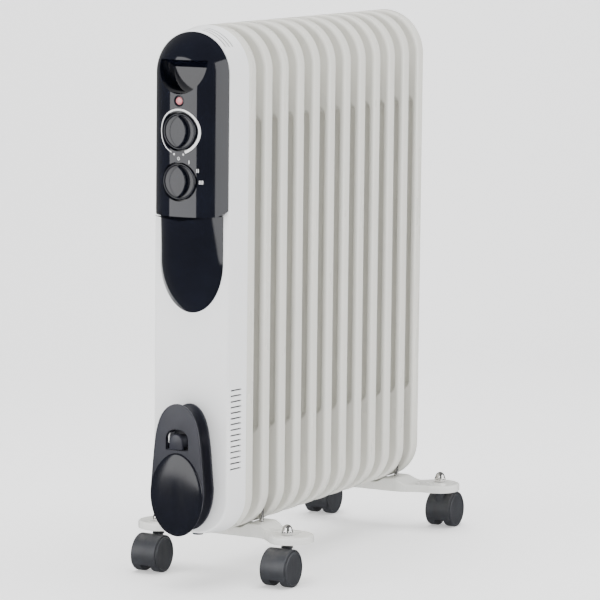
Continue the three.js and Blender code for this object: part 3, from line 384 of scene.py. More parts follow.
def finishes():
    """Each finish: its name, colour, dark share, gloss and relief, then what differs from the usual."""
    shades = bpy.context.scene.heater_colours
    black = shades.panel
    return {
        "enamel": ("Fin enamel", shades.enamel, 0.965, (0.26, 0.36, 30), (9, 700, 0.25, 0.00022),
                   {"dust": 0.10, "patch": 7, "coat_weight": 0.35, "coat_roughness": 0.12}),
        "foot": ("Foot enamel", shades.foot, 0.95, (0.24, 0.36, 40), (30, 900, 0.35, 0.00012),
                 {"dust": 0.12, "patch": 25, "coat_weight": 0.3, "coat_roughness": 0.12}),
        "white": ("Housing white", shades.white, 0.985, (0.30, 0.38, 25), (14, 1500, 0.5, 0.00004),
                  {"dust": 0.03, "patch": 9}),
        "panel": ("Panel gloss black", black, 0.7, (0.06, 0.10, 45), (22, 1500, 0.2, 0.00002),
                  {"patch": 20}),
        "knob": ("Knob black", black, 0.7, (0.14, 0.22, 70), (60, 2200, 0.6, 0.00003), {"patch": 40}),
        "satin": ("Winder satin black", shades.satin, 0.8, (0.36, 0.46, 60), (40, 2600, 0.85, 0.00006),
                  {"dust": 0.03, "patch": 30}),
        "cup": ("Winder cup gloss", black, 0.7, (0.16, 0.24, 60), (30, 2000, 0.4, 0.00003),
                {"patch": 30}),
        "caster": ("Caster nylon", shades.caster, 0.75, (0.42, 0.55, 90), (60, 2400, 0.8, 0.00008),
                   {"dust": 0.10, "patch": 60}),
        "chrome": ("Bright plating", (0.62, 0.61, 0.60), 0.9, (0.06, 0.16, 150),
                   (120, 1500, 0.4, 0.00002), {"patch": 90, "metallic": 1.0}),
        "steel": ("Zinc plated steel", (0.42, 0.42, 0.43), 0.8, (0.28, 0.45, 120),
                  (90, 1800, 0.6, 0.00003), {"patch": 60, "stretch": (1, 1, 0.3), "metallic": 1.0}),
        "element": ("Heat tinted tube", (0.33, 0.27, 0.22), 0.6, (0.3, 0.5, 90),
                    (60, 1400, 0.6, 0.00004), {"patch": 50, "stretch": (0.2, 1, 1), "metallic": 1.0}),
        "insulator": ("Cream moulding", (0.60, 0.54, 0.42), 0.85, (0.45, 0.6, 80),
                      (60, 2000, 0.7, 0.00006), {"patch": 60}),
        "print": ("White print", (0.82, 0.82, 0.82), 0.93, (0.4, 0.5, 200), (200, 3000, 0.6, 0.00001),
                  {"patch": 200}),
        "lamp": ("Lamp lens", shades.lamp, 0.72, (0.12, 0.2, 300), (500, 2500, 0.3, 0.00008),
                 {"patch": 420, "coat_weight": 0.5, "coat_roughness": 0.05}),
    }


def material(name):
    """The named finish of this heater, made when it is first used."""
    if name not in MATERIALS:
        *looks, others = finishes()[name]
        MATERIALS[name] = finish(*looks, **others)
    return MATERIALS[name]


def dress(node, name):
    """Gives a CAD node that stays visible its finish."""
    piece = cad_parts[node]
    piece.data.materials.clear()
    piece.data.materials.append(material(name))


# ---------------------------------------------------------------- outlines
def rounded_outline(half, low, high, top_radius, bottom_radius, steps=18):
    """(y, z) points of an upright rounded shape, counter-clockwise from its upper right."""
    corners = ((half - top_radius, high - top_radius, top_radius),
               (top_radius - half, high - top_radius, top_radius),
               (bottom_radius - half, low + bottom_radius, bottom_radius),
               (half - bottom_radius, low + bottom_radius, bottom_radius))
    points = []
    for quarter, (y, z, radius) in enumerate(corners):
        for i in range(steps):
            angle = (quarter + i / (steps - 1)) * math.pi / 2
            points.append((y + radius * math.cos(angle), z + radius * math.sin(angle)))
    return points


def drawn_in(points, inset, low, high):
    """The same outline moved inwards towards the upright line from low to high."""
    moved = []
    for y, z in points:
        anchor = min(max(z, low), high)
        reach = math.hypot(y, z - anchor)
        share = (reach - inset) / reach if reach > 0 else 1.0
        moved.append((y * share, anchor + (z - anchor) * share))
    return moved


def at_x(points, x):
    """Lifts (y, z) points to one plane."""
    return [Vector((x, y, z)) for y, z in points]


def quarter(steps, start=1):
    """A quarter turn in steps: how far a rounding of size 1 stands in from the side, and from the front."""
    angles = [i / steps * math.pi / 2 for i in range(start, steps + 1)]
    return [(1 - math.cos(angle), 1 - math.sin(angle)) for angle in angles]


def middle_of(node, axes="xyz"):
    """Middle of a CAD node's box, with 0 along the axes that aren't named."""
    low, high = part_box(node)
    return Vector([(low[i] + high[i]) / 2 if axis in axes else 0.0 for i, axis in enumerate("xyz")])


def smooth_step(value):
    """0 below 0, 1 above 1, and an easy curve between."""
    value = min(max(value, 0.0), 1.0)
    return value * value * (3 - 2 * value)


# ---------------------------------------------------------------- modelling
def placed_loop(bm, places):
    """A closed loop of edges: a circle whose corners are put at the places."""
    loop = bmesh.ops.create_circle(bm, segments=len(places), radius=1.0)["verts"]
    loop.sort(key=lambda vert: math.atan2(vert.co.y, vert.co.x) % math.tau)
    for vert, place in zip(loop, places):
        vert.co = place
    return loop


def next_loop(bm, loop, places):
    """Extrudes a loop one station on and returns the new loop in the same order."""
    edges = [bm.edges.get(pair) for pair in zip(loop, loop[1:] + loop[:1])]
    fresh = {item for item in bmesh.ops.extrude_edge_only(bm, edges=edges)["geom"]
             if isinstance(item, bmesh.types.BMVert)}
    twins = [next(edge.other_vert(vert) for edge in vert.link_edges if edge.other_vert(vert) in fresh)
             for vert in loop]
    for vert, place in zip(twins, places):
        vert.co = place
    return twins


def skinned(bm, stations, cap_start=True, cap_end=True):
    """Skins a closed loop through stations and caps its ends. Returns the last loop."""
    loop = placed_loop(bm, stations[0])
    first = list(loop)
    for places in stations[1:]:
        loop = next_loop(bm, loop, places)
    if cap_start:
        bm.faces.new(first)
    if cap_end:
        bm.faces.new(loop)
    return loop


def turned(bm, profile, centre, axis, steps=48):
    """Spins a profile of (radius, distance along the axis) a full turn round an axis."""
    along = {"X": Vector((1, 0, 0)), "Y": Vector((0, 1, 0)), "Z": Vector((0, 0, 1))}[axis]
    across = Vector((0, 0, 1)) if axis != "Z" else Vector((1, 0, 0))
    verts = [bm.verts.new(Vector(centre) + across * radius + along * height) for radius, height in profile]
    edges = [bm.edges.new(pair) for pair in zip(verts, verts[1:])]
    bmesh.ops.spin(bm, geom=verts + edges, cent=centre, axis=along, angle=math.tau, steps=steps,
                   use_merge=True, use_duplicate=False)


def block(bm, low, high):
    """A box between two corners."""
    low, high = Vector(low), Vector(high)
    size = high - low
    matrix = Matrix.Translation((low + high) / 2) @ Matrix.Diagonal((*size, 1.0))
    bmesh.ops.create_cube(bm, size=1.0, matrix=matrix)


def score(bm, faces_of, axis, places):
    """Cuts lines across the chosen faces at each place along an axis."""
    normal = Vector([1.0 if i == axis else 0.0 for i in range(3)])
    for place in places:
        faces = faces_of(bm)
        geom = list({item for face in faces for item in (*face.verts, *face.edges)}) + faces
        bmesh.ops.bisect_plane(bm, geom=geom, dist=1e-7, plane_co=normal * place, plane_no=normal)


def sheared(bm, point, normal):
    """Cuts away what lies in front of a plane and closes the cut."""
    geom = bm.verts[:] + bm.edges[:] + bm.faces[:]
    cut = bmesh.ops.bisect_plane(bm, geom=geom, dist=1e-7, plane_co=point, plane_no=normal, clear_outer=True)
    edges = [item for item in cut["geom_cut"] if isinstance(item, bmesh.types.BMEdge)]
    bmesh.ops.holes_fill(bm, edges=edges, sides=0)


def to_object(bm, name):
    """Turns a finished bmesh into an object with outward faces."""
    bmesh.ops.remove_doubles(bm, verts=bm.verts, dist=1e-6)
    bmesh.ops.recalc_face_normals(bm, faces=bm.faces)
    for face in bm.faces:
        face.smooth = True
    mesh = bpy.data.meshes.new(name)
    bm.to_mesh(mesh)
    bm.free()
    piece = bpy.data.objects.new(name, mesh)
    bpy.context.scene.collection.objects.link(piece)
    return piece


def carve(piece, cutter):
    """Takes the cutter's solid out of a piece, and removes the cutter."""
    tool = to_object(cutter, "cutter")
    modifier = piece.modifiers.new("Carve", "BOOLEAN")
    modifier.object = tool
    modifier.operation = "DIFFERENCE"
    modifier.solver = "EXACT"
    view = bpy.context.evaluated_depsgraph_get()
    carved = bpy.data.meshes.new_from_object(piece.evaluated_get(view))
    piece.modifiers.clear()
    piece.data = carved
    bpy.data.objects.remove(tool)
    if not carved.polygons:
        raise RuntimeError(f"{piece.name} was cut away altogether")


def ready(piece, finish_name, body, nodes=(), sharp=32.0, bevel=0.0, segments=2):
    """Marks sharp edges, adds an edge rounding, sets the finish, and ties the piece to its body."""
    piece.data.materials.clear()
    piece.data.materials.append(material(finish_name))
    piece.data.set_sharp_from_angle(angle=math.radians(sharp))
    if bevel:
        rounding = piece.modifiers.new("Edge rounding", "BEVEL")
        rounding.width = bevel
        rounding.segments = segments
        rounding.limit_method = "ANGLE"
        rounding.angle_limit = math.radians(sharp)
        rounding.harden_normals = True
    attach(piece, body)
    if nodes:
        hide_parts(*nodes)


# ---------------------------------------------------------------- fins
def fin_press(sizes, y, z, foot, top):
    """How deep the sheet is pressed in at a point of a fin's face."""
    half = sizes.channel_width / 2
    low, high = foot + sizes.channel_rise + half, top - sizes.channel_drop - half
    reach = half - math.hypot(abs(y) - sizes.channel_middle, z - min(max(z, low), high))
    depth = sizes.channel_depth * smooth_step(reach / (0.42 * half))
    groove = 3.4 * MM
    for middle in (0.0, 17.0 * MM):
        reach = groove - math.hypot(abs(y) - middle, z - min(max(z, low - 4 * MM), high + 4 * MM))
        depth = max(depth, sizes.flute_depth * smooth_step(reach / groove))
    return depth


def fin_blank(sizes):
    """Mesh of one fin without its collars, centred on X."""
    low_corner, high_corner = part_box(FINS[-1])
    half, foot, top = high_corner.y, low_corner.z, high_corner.z
    outline = rounded_outline(half, foot, top, half, sizes.bottom_radius, steps=20)
    low, high = foot + sizes.bottom_radius, top - half
    front = -sizes.rim / 2
    stations = [at_x(outline, 0.0), at_x(outline, front + sizes.rounding)]
    for across, ahead in quarter(5):
        x = front + sizes.rounding * ahead
        stations.append(at_x(drawn_in(outline, sizes.rounding * across, low, high), x))
    stations.append(at_x(drawn_in(outline, 4.6 * MM, low, high), front))
    bm = bmesh.new()
    skinned(bm, stations, cap_start=False)

    def core(mesh):
        return [face for face in mesh.faces if all(abs(vert.co.x - front) < 1e-6 for vert in face.verts)]

    score(bm, core, 1, [i * 1.7 * MM for i in range(-28, 29)])
    ends = [foot + sizes.channel_rise + i * 2.2 * MM for i in range(-3, 9)]
    ends += [top - sizes.channel_drop + i * 2.2 * MM for i in range(-8, 4)]
    spans = [foot + 20 * MM + i * 24 * MM for i in range(23)]
    score(bm, core, 2, sorted(ends + spans))
    for vert in bm.verts:
        if abs(vert.co.x - front) < 1e-6:
            vert.co.x += fin_press(sizes, vert.co.y, vert.co.z, foot, top)
    geom = bm.verts[:] + bm.edges[:] + bm.faces[:]
    bmesh.ops.mirror(bm, geom=geom, matrix=Matrix.Identity(4), merge_dist=1e-6, axis="X")
    bmesh.ops.recalc_face_normals(bm, faces=bm.faces)
    mesh = bpy.data.meshes.new("fin_blank")
    bm.to_mesh(mesh)
    bm.free()
    return mesh


class HEATER_OT_fins(bpy.types.Operator):
    """Presses the row of fins with their oil duct collars"""
    bl_idname = "heater.fins"
    bl_label = "Fins"

    def execute(self, context):
        sizes = context.scene.heater_fins
        blank = fin_blank(sizes)
        for index, node in enumerate(FINS):
            low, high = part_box(node)
            middle = low.x + sizes.rim / 2
            face = middle + sizes.rim / 2
            bm = bmesh.new()
            bm.from_mesh(blank)
            bmesh.ops.translate(bm, verts=bm.verts, vec=(middle, 0, 0))
            radius = sizes.collar_radius
            sunk = 0.4 * MM
            for height in (low.z + sizes.collar_rise, high.z - sizes.collar_drop):
                if index == len(FINS) - 1:
                    profile = [(0, face - sunk), (radius + 2.5 * MM, face - sunk),
                               (radius + 0.8 * MM, face + 0.8 * MM), (radius, face + 2 * MM),
                               (radius - 0.3 * MM, high.x - 0.9 * MM),
                               (radius - 1.2 * MM, high.x), (radius - 5 * MM, high.x),
                               (radius - 6.5 * MM, high.x - 1.4 * MM), (0, high.x - 1.4 * MM)]
                else:
                    inner = radius - 1.6 * MM
                    waist = (face + high.x) / 2
                    profile = [(inner, face - sunk), (radius + 2.5 * MM, face - sunk),
                               (radius + 0.8 * MM, face + 0.8 * MM), (radius, face + 2.4 * MM),
                               (radius, waist - 0.6 * MM), (radius - 0.5 * MM, waist),
                               (radius, waist + 0.6 * MM), (radius, high.x - 2.2 * MM),
                               (radius + 0.8 * MM, high.x - 0.7 * MM), (radius + 2.2 * MM, high.x),
                               (inner, high.x), (inner, face - sunk)]
                turned(bm, profile, Vector((0, 0, height)), "X", steps=40)
            piece = to_object(bm, f"pressed_{node}")
            ready(piece, "enamel", ROOT, (node,), sharp=50)
        bpy.data.meshes.remove(blank)
        return {"FINISHED"}


# ---------------------------------------------------------------- housing
class HEATER_OT_housing(bpy.types.Operator):
    """Moulds the white control housing with its louvres and crown vents"""
    bl_idname = "heater.housing"
    bl_label = "Control housing"

    def execute(self, context):
        sizes = context.scene.heater_housing
        low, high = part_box("housing_shell")
        half = high.y
        outline = rounded_outline(half, low.z, high.z, half, sizes.bottom_radius, steps=22)
        bottom, top = low.z + sizes.bottom_radius, high.z - half
        depth = high.x - low.x

        def draft(x):
            return sizes.draft * (high.x - x) / depth

        def station(x, inset):
            return at_x(drawn_in(outline, draft(x) + inset, bottom, top), x)

        stations = [station(low.x + sizes.edge * ahead, sizes.edge * across)
                    for across, ahead in reversed(quarter(6, start=0))]
        stations += [station(high.x, 0.0), station(high.x, sizes.wall)]
        stations.append(station(low.x + sizes.wall + sizes.edge, sizes.wall))
        stations.append(station(low.x + sizes.wall, sizes.wall + sizes.edge / 2))
        bm = bmesh.new()
        skinned(bm, stations)
        shell = to_object(bm, "moulded_housing")
        cutter = bmesh.new()
        middle = (low.x + high.x) / 2 - 2 * MM
        reach = sizes.slit_length / 2
        for i in range(sizes.slit_count):
            z = sizes.slit_lowest + i * sizes.slit_pitch
            for side in (-1, 1):
                inner, outer = sorted((side * (half - 7 * MM), side * (half + 5 * MM)))
                block(cutter, (middle - reach, inner, z), (middle + reach, outer, z + sizes.slit_height))
        slot = sizes.crown_slot / 2
        for i in range(sizes.crown_slots):
            x = low.x + sizes.crown_first + i * sizes.crown_pitch
            for side in (-1, 1):
                inner, outer = sorted((side * 7 * MM, side * (half + 9 * MM)))
                block(cutter, (x - slot, inner, high.z - sizes.crown_drop),
                      (x + slot, outer, high.z + 9 * MM))
        notch = 1.2 * MM
        block(cutter, (high.x - notch, -half - notch, low.z + 16 * MM),
              (high.x + notch, -half + 9 * MM, low.z + 18 * MM))
        carve(shell, cutter)
        ready(shell, "white", ROOT, ("housing_shell",), sharp=40)
        shell.modifiers.new("Weighted normals", "WEIGHTED_NORMAL").keep_sharp = True
        dress("mounting_plate", "steel")
        dress("cord_gland", "satin")
        return {"FINISHED"}


# ---------------------------------------------------------------- panel
class PanelShape:
    """Where the crowned surface of the control panel runs."""

    def __init__(self):
        low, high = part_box("control_panel")
        self.crown, self.base = low.x, high.x
        self.low, self.high, self.half = low.z, high.z, high.y
        self.top = self.high - self.half

    def surface(self, y, z):
        """The X of the surface at a point."""
        reach = math.hypot(y, max(z - self.top, 0.0)) / self.half
        return self.base - (self.base - self.crown) * (1.0 - min(reach, 1.0) ** 3)


def half_moon(sizes, shrink, steps=28):
    """Outline of the hand grip: straight above, round below."""
    half = sizes.grip_half - shrink
    top = sizes.grip_top - shrink
    points = [(half * (1 - 2 * i / 8), top) for i in range(9)]
    for i in range(steps + 1):
        angle = i * math.pi / steps
        drop = (sizes.grip_drop - 4 * MM - shrink) * math.sin(angle)
        points.append((-half * math.cos(angle), top - 4 * MM - drop))
    return points


def printed_mark(bm, shape, corners, lift=0.12 * MM):
    """A thin printed patch that follows the panel between (y, z) corners given as quads."""
    for quad in corners:
        verts = [bm.verts.new((shape.surface(y, z) - lift, y, z)) for y, z in quad]
        bm.faces.new(verts)


def bar_patch(y, z, half_width, half_height):
    """Corners of an upright bar."""
    return [(y - half_width, z - half_height), (y + half_width, z - half_height),
            (y + half_width, z + half_height), (y - half_width, z + half_height)]


class HEATER_OT_panel(bpy.types.Operator):
    """Moulds the black control panel with its hand grip and knob seats, its tongue, print and lamp"""
    bl_idname = "heater.panel"
    bl_label = "Control panel"

    def execute(self, context):
        sizes = context.scene.heater_panel
        shape = PanelShape()
        self.pod(sizes, shape)
        self.tongue(sizes)
        self.print_marks(sizes, shape)
        self.lamp(shape)
        return {"FINISHED"}

    def pod(self, sizes, shape):
        """The upper shell."""
        half, top = shape.half, shape.top
        below = shape.low - 60 * MM
        outline = rounded_outline(half, below, shape.high, half, 1 * MM, steps=26)
        stations = []
        rise = shape.base - shape.crown
        for i in range(25):
            reach = max(1 - i / 24, 0.033)
            x = shape.base - rise * (1 - reach ** 3)
            stations.append(at_x(drawn_in(outline, half * (1 - reach), below, top), x))
        bm = bmesh.new()
        skinned(bm, stations)
        sheared(bm, (0, 0, shape.low), (0, 0, -1))
        for side in (-1, 1):
            slope = Vector((0, side * sizes.corner_up, -sizes.corner_across)).normalized()
            sheared(bm, (0, side * half, shape.low + sizes.corner_up), slope)
        score(bm, lambda mesh: mesh.faces[:], 2, [shape.low + 5 * MM + i * 6 * MM for i in range(25)])
        pod = to_object(bm, "moulded_control_panel")
        cutter = bmesh.new()
        deep = shape.base - 5 * MM
        near = shape.crown - 4 * MM
        scoop = 9 * MM
        brow = shape.crown + scoop
        stations = [at_x(half_moon(sizes, 0.0), near), at_x(half_moon(sizes, 0.0), brow)]
        for share in (0.25, 0.5, 0.75, 0.92, 1.0):
            stations.append(at_x(half_moon(sizes, scoop * share * share), brow + share * (deep - brow)))
        skinned(cutter, stations)
        seat = shape.base - sizes.seat_depth
        for node in ("thermostat_knob", "switch_knob"):
            radius = sizes.seat_radius
            profile = [(0, near), (radius + 0.6 * MM, near), (radius, seat), (4 * MM, seat),
                       (4 * MM, shape.base + MM), (0, shape.base + MM)]
            turned(cutter, profile, middle_of(node, "z"), "X", steps=72)
        turned(cutter, [(0, near), (6.2 * MM, near), (6.2 * MM, shape.crown + 1.6 * MM),
                        (4.6 * MM, shape.crown + 2.2 * MM), (4.6 * MM, shape.base + MM),
                        (0, shape.base + MM)],
               middle_of("lamp_lens", "z"), "X", steps=40)
        carve(pod, cutter)
        ready(pod, "panel", ROOT, ("control_panel",), sharp=34, bevel=0.5 * MM, segments=3)

    def tongue(self, sizes):
        """The long rounded tongue below the panel."""
        low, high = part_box("panel_tongue")
        half, rounding = high.y, sizes.tongue_round
        middle = low.z + rounding
        points = []
        for i in range(41):
            angle = math.pi + i * math.pi / 40
            points.append((half * math.cos(angle), middle + rounding * math.sin(angle)))
        points += [(half, middle + (high.z - middle) * i / 6) for i in range(1, 7)]
        points += [(half - 2 * half * i / 16, high.z) for i in range(1, 16)]
        points += [(-half, high.z - (high.z - middle) * i / 6) for i in range(6)]
        tip_rise = sizes.tongue_tip_rise
        full_rise = high.x - low.x

        def station(share, inset):
            places = []
            for (y0, z0), (y, z) in zip(points, drawn_in(points, inset, middle, high.z)):
                rise = tip_rise + (full_rise - tip_rise) * (z - low.z) / (high.z - low.z)
                places.append(Vector((high.x - share * rise, y, z0 if z0 > middle else z)))
            return places

        stations = []
        for i in range(23):
            reach = max(1 - i / 22, 2 * MM / half)
            stations.append(station(1 - reach ** 3, half * (1 - reach)))
        bm = bmesh.new()
        skinned(bm, stations)
        score(bm, lambda mesh: mesh.faces[:], 2, [low.z + 6 * MM + i * 6 * MM for i in range(17)])
        ready(to_object(bm, "moulded_tongue"), "panel", ROOT, ("panel_tongue",), sharp=34,
              bevel=0.5 * MM, segments=3)

    def print_marks(self, sizes, shape):
        """The dial ring, its two dots and the switch marks."""
        bm = bmesh.new()
        middle = middle_of("thermostat_knob").z
        steps = 90
        quads = []
        for i in range(steps):
            corners = []
            for k, inner in ((i, True), (i, False), (i + 1, False), (i + 1, True)):
                share = k / steps
                width = (0.8 + 2.2 * share) * MM
                radius = sizes.ring_radius - (width if inner else 0.0)
                turn = math.radians(248 - 319 * share)
                corners.append((-radius * math.cos(turn), middle + radius * math.sin(turn)))
            quads.append(corners)
        printed_mark(bm, shape, quads)
        for turn in (math.radians(257), math.radians(283)):
            y, z = -sizes.dot_radius * math.cos(turn), middle + sizes.dot_radius * math.sin(turn)
            around = [i * math.tau / 16 for i in range(16)]
            dot = [(y + 1.1 * MM * math.cos(angle), z + 1.1 * MM * math.sin(angle)) for angle in around]
            printed_mark(bm, shape, [dot])
        middle = middle_of("switch_knob").z
        radius = sizes.mark_radius
        for count, turn in ((0, 0), (1, 30), (2, 60), (3, 90)):
            y, z = -radius * math.sin(math.radians(turn)), middle + radius * math.cos(math.radians(turn))
            if count == 0:
                turns = [i * math.tau / 20 for i in range(21)]
                inner = [(y + 0.8 * MM * math.cos(a), z + 1.2 * MM * math.sin(a)) for a in turns]
                outer = [(y + 1.4 * MM * math.cos(a), z + 1.9 * MM * math.sin(a)) for a in turns]
                printed_mark(bm, shape, list(zip(inner, outer, outer[1:], inner[1:])))
            for i in range(count):
                offset = (i - (count - 1) / 2) * 1.5 * MM
                printed_mark(bm, shape, [bar_patch(y + offset, z, 0.4 * MM, 2.0 * MM)])
        piece = to_object(bm, "dial_print")
        solid = piece.modifiers.new("Print thickness", "SOLIDIFY")
        solid.thickness = 0.1 * MM
        ready(piece, "print", ROOT, sharp=40)

    def lamp(self, shape):
        """The lens of the pilot lamp and its bezel."""
        low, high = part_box("lamp_lens")
        centre = middle_of("lamp_lens", "z")
        radius = (high.z - low.z) / 2
        bm = bmesh.new()
        dome = [(radius * (1 - ahead), low.x + 0.1 * MM + 1.2 * MM * across)
                for across, ahead in quarter(8, start=0)]
        turned(bm, dome + [(radius, high.x), (0, high.x)], centre, "X", steps=40)
        ready(to_object(bm, "lamp_dome"), "lamp", ROOT, ("lamp_lens",), sharp=40)
        bm = bmesh.new()
        near = shape.crown - 0.2 * MM
        back = near + 3 * MM
        turned(bm, [(4.45 * MM, back), (4.45 * MM, near + 0.6 * MM), (5.0 * MM, near),
                    (5.8 * MM, near + 0.3 * MM), (6.1 * MM, near + 1.2 * MM), (6.1 * MM, back),
                    (4.45 * MM, back)], centre, "X", steps=48)
        ready(to_object(bm, "lamp_bezel"), "knob", ROOT, sharp=40)
        dress("lamp_body", "insulator")


# ---------------------------------------------------------------- knobs and controls
class HEATER_OT_knobs(bpy.types.Operator):
    """Turns the thermostat and switch knobs with their lens-shaped grip bars"""
    bl_idname = "heater.knobs"
    bl_label = "Knobs"

    def execute(self, context):
        sizes = context.scene.heater_knobs
        for node, body in (("thermostat_knob", "thermostat_dial"), ("switch_knob", "switch_dial")):
            low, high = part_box(node)
            centre = middle_of(node, "z")
            radius = (high.z - low.z) / 2
            face = low.x + sizes.bar_rise
            well = radius - sizes.rim
            bm = bmesh.new()
            dish = [(well * i / 12, face + 0.6 * MM * (1 - (i / 12) ** 2)) for i in range(13)]
            for i in range(1, 9):
                angle = i / 8 * math.pi
                reach = well + sizes.rim * (1 - math.cos(angle)) / 2
                dish.append((reach, face - sizes.rim_rise * math.sin(angle)))
            turned(bm, dish + [(radius, high.x), (0, high.x)], centre, "X", steps=96)
            self.bar(bm, sizes, centre.z, low.x, face)
            piece = to_object(bm, f"turned_{node}")
            ready(piece, "knob", body, (node,), sharp=38)
            piece.modifiers.new("Weighted normals", "WEIGHTED_NORMAL").keep_sharp = True
        for node in ("thermostat_shaft", "switch_shaft", "thermal_cutout", "element_flange"):
            dress(node, "steel")
        for node in ("thermostat_body", "switch_body", "terminal_block"):
            dress(node, "insulator")
        dress("heating_element", "element")
        return {"FINISHED"}

    def bar(self, bm, sizes, z, front, face):
        """A lens-shaped bar made of two arcs."""
        half, tall = sizes.bar_half, sizes.bar_reach
        arc_radius = (tall * tall + half * half) / (2 * half)
        sweep = math.asin(tall / arc_radius)

        def lens(shrink):
            points = []
            for side in (1, -1):
                for i in range(16):
                    angle = side * sweep * (2 * i / 16 - 1)
                    y = side * (arc_radius * math.cos(angle) - (arc_radius - half))
                    share = 1 - shrink / half
                    points.append((y * share, z + arc_radius * math.sin(angle) * (1 - shrink / tall)))
            return points

        edge = 1.2 * MM
        stations = [at_x(lens(-0.8 * MM), face + 0.8 * MM), at_x(lens(-0.2 * MM), face - 1.0 * MM),
                    at_x(lens(0.0), front + edge)]
        stations += [at_x(lens(edge * across), front + edge * ahead) for across, ahead in quarter(4)]
        skinned(bm, stations)


# ---------------------------------------------------------------- cord winder
def winder_outline(sizes, inset, steps=30):
    """Outline of the winder's plate: blunt and narrow above, round below."""
    low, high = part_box("winder_plate")
    middle, half = sizes.widest, high.y - inset
    points = []
    for i in range(2 * steps):
        angle = i * math.pi / steps
        rise = math.sin(angle)
        if i <= steps:
            width = (half - sizes.taper * rise) * math.sqrt(max(1 - rise ** 6, 0.0))
            points.append((math.copysign(width, math.cos(angle)), middle + (high.z - middle - inset) * rise))
        else:
            points.append((half * math.cos(angle), middle + (middle - low.z - inset) * rise))
    return points


def window_outline(sizes, inset=0.0):
    """Outline of the round-topped window."""
    half = sizes.window_half - inset
    low, high = sizes.window_low + inset, sizes.window_high - inset
    return rounded_outline(half, low, high, half * 0.8, 1.5 * MM, steps=10)


def winder_stations(sizes, places):
    """The winder's outline at each (inset, x) place."""
    return [at_x(winder_outline(sizes, inset), x) for inset, x in places]


class HEATER_OT_winder(bpy.types.Operator):
    """Moulds the cord winder: plate with cup and window, spool and cord clip"""
    bl_idname = "heater.winder"
    bl_label = "Cord winder"

    def execute(self, context):
        sizes = context.scene.heater_winder
        low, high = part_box("winder_plate")
        front = high.x - 2.6 * MM
        bm = bmesh.new()
        edge = 0.9 * MM
        places = [(0.4 * MM, high.x), (0, high.x - 0.4 * MM), (0, front + edge)]
        places += [(edge * across, front + edge * ahead) for across, ahead in quarter(4)]
        skinned(bm, winder_stations(sizes, places))
        plate = to_object(bm, "winder_face")
        cutter = bmesh.new()
        skinned(cutter, [at_x(window_outline(sizes), x) for x in (low.x - 5 * MM, high.x + 3 * MM)])
        carve(plate, cutter)
        ready(plate, "satin", ROOT, ("winder_plate",), sharp=36)
        self.cup(sizes, low, front)
        self.spool(sizes)
        self.clip(sizes)
        return {"FINISHED"}

    def cup(self, sizes, low, front):
        """The glossy bulge on the lower part of the plate."""
        top = sizes.cup_top
        bottom = low.z + 0.6 * MM
        middle, up = (top + bottom) / 2, (top - bottom) / 2
        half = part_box("winder_plate")[1].y - 0.5 * MM
        rise = front - low.x

        def ring(share):
            points = []
            for i in range(72):
                angle = i * math.tau / 72
                y, z = math.cos(angle), math.sin(angle)
                narrow = 1 - 0.12 * max(z, 0.0) ** 2
                points.append((half * y * narrow * share, middle + up * z * share))
            return points

        stations = [at_x(ring(1.0), front + 0.3 * MM), at_x(ring(1.0), front - 0.6 * MM)]
        for share in (0.985, 0.96, 0.92, 0.86, 0.78, 0.68, 0.56, 0.43, 0.3, 0.18, 0.08):
            height = 0.8 * MM + (rise - 0.8 * MM) * (1 - share ** 2.3) ** 0.62
            stations.append(at_x(ring(share), front - height))
        bm = bmesh.new()
        skinned(bm, stations)
        ready(to_object(bm, "winder_cup"), "cup", ROOT, sharp=36)

    def spool(self, sizes):
        """The core that the cord is wound on, with its flange against the housing."""
        low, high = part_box("winder_spool")
        flange = high.x - 3 * MM
        places = [(12 * MM, low.x), (14 * MM, low.x + 3 * MM), (14 * MM, flange - 3 * MM),
                  (12.5 * MM, flange - 1 * MM), (11 * MM, flange), (3.8 * MM, flange),
                  (3 * MM, flange + 0.8 * MM), (3 * MM, high.x)]
        bm = bmesh.new()
        skinned(bm, winder_stations(sizes, places))
        core = to_object(bm, "winder_core")
        cutter = bmesh.new()
        window = window_outline(sizes, 0.5 * MM)
        skinned(cutter, [at_x(window, low.x - 2 * MM), at_x(window, low.x + 12 * MM)])
        carve(core, cutter)
        ready(core, "satin", ROOT, ("winder_spool",), sharp=36)

    def clip(self, sizes):
        """The round-topped tab in the window that holds the cord's end."""
        low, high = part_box("winder_clip")
        half = high.y

        def station(x, inset):
            wide = half - inset
            return at_x(rounded_outline(wide, low.z + inset, high.z - inset, wide, 1 * MM, steps=14), x)

        bm = bmesh.new()
        skinned(bm, [station(low.x, 1.0 * MM), station(low.x + 0.35 * MM, 0.35 * MM),
                     station(low.x + 1.0 * MM, 0.0), station(low.x + 4.0 * MM, 0.0),
                     station(low.x + 5.0 * MM, 1.4 * MM), station(high.x, 1.4 * MM)])
        ready(to_object(bm, "winder_tab"), "satin", ROOT, ("winder_clip",), sharp=36)


# ---------------------------------------------------------------- feet and bolts
def foot_outline(sizes, bolt_x, outward, reach, steps=40):
    """Outline of a foot seen from above: a strip that swells into a paddle at each end."""
    far, near = [], []
    for i in range(steps + 1):
        y = reach * math.sin(i / steps * math.pi / 2)
        swell = smooth_step((y - sizes.paddle_start) / sizes.paddle_blend)
        tip = max((y - sizes.paddle_round) / (reach - sizes.paddle_round), 0.0)
        half = (sizes.strip_half + sizes.paddle_swell * swell) * math.sqrt(max(1 - tip ** 2.6, 0.0))
        middle = sizes.paddle_out * swell
        far.append((bolt_x + outward * (middle + half), y))
        near.append((bolt_x + outward * (middle - half), y))
    half_ring = far + near[-2::-1]
    return half_ring + [(x, -y) for x, y in near[1:]] + [(x, -y) for x, y in far[-2:0:-1]]


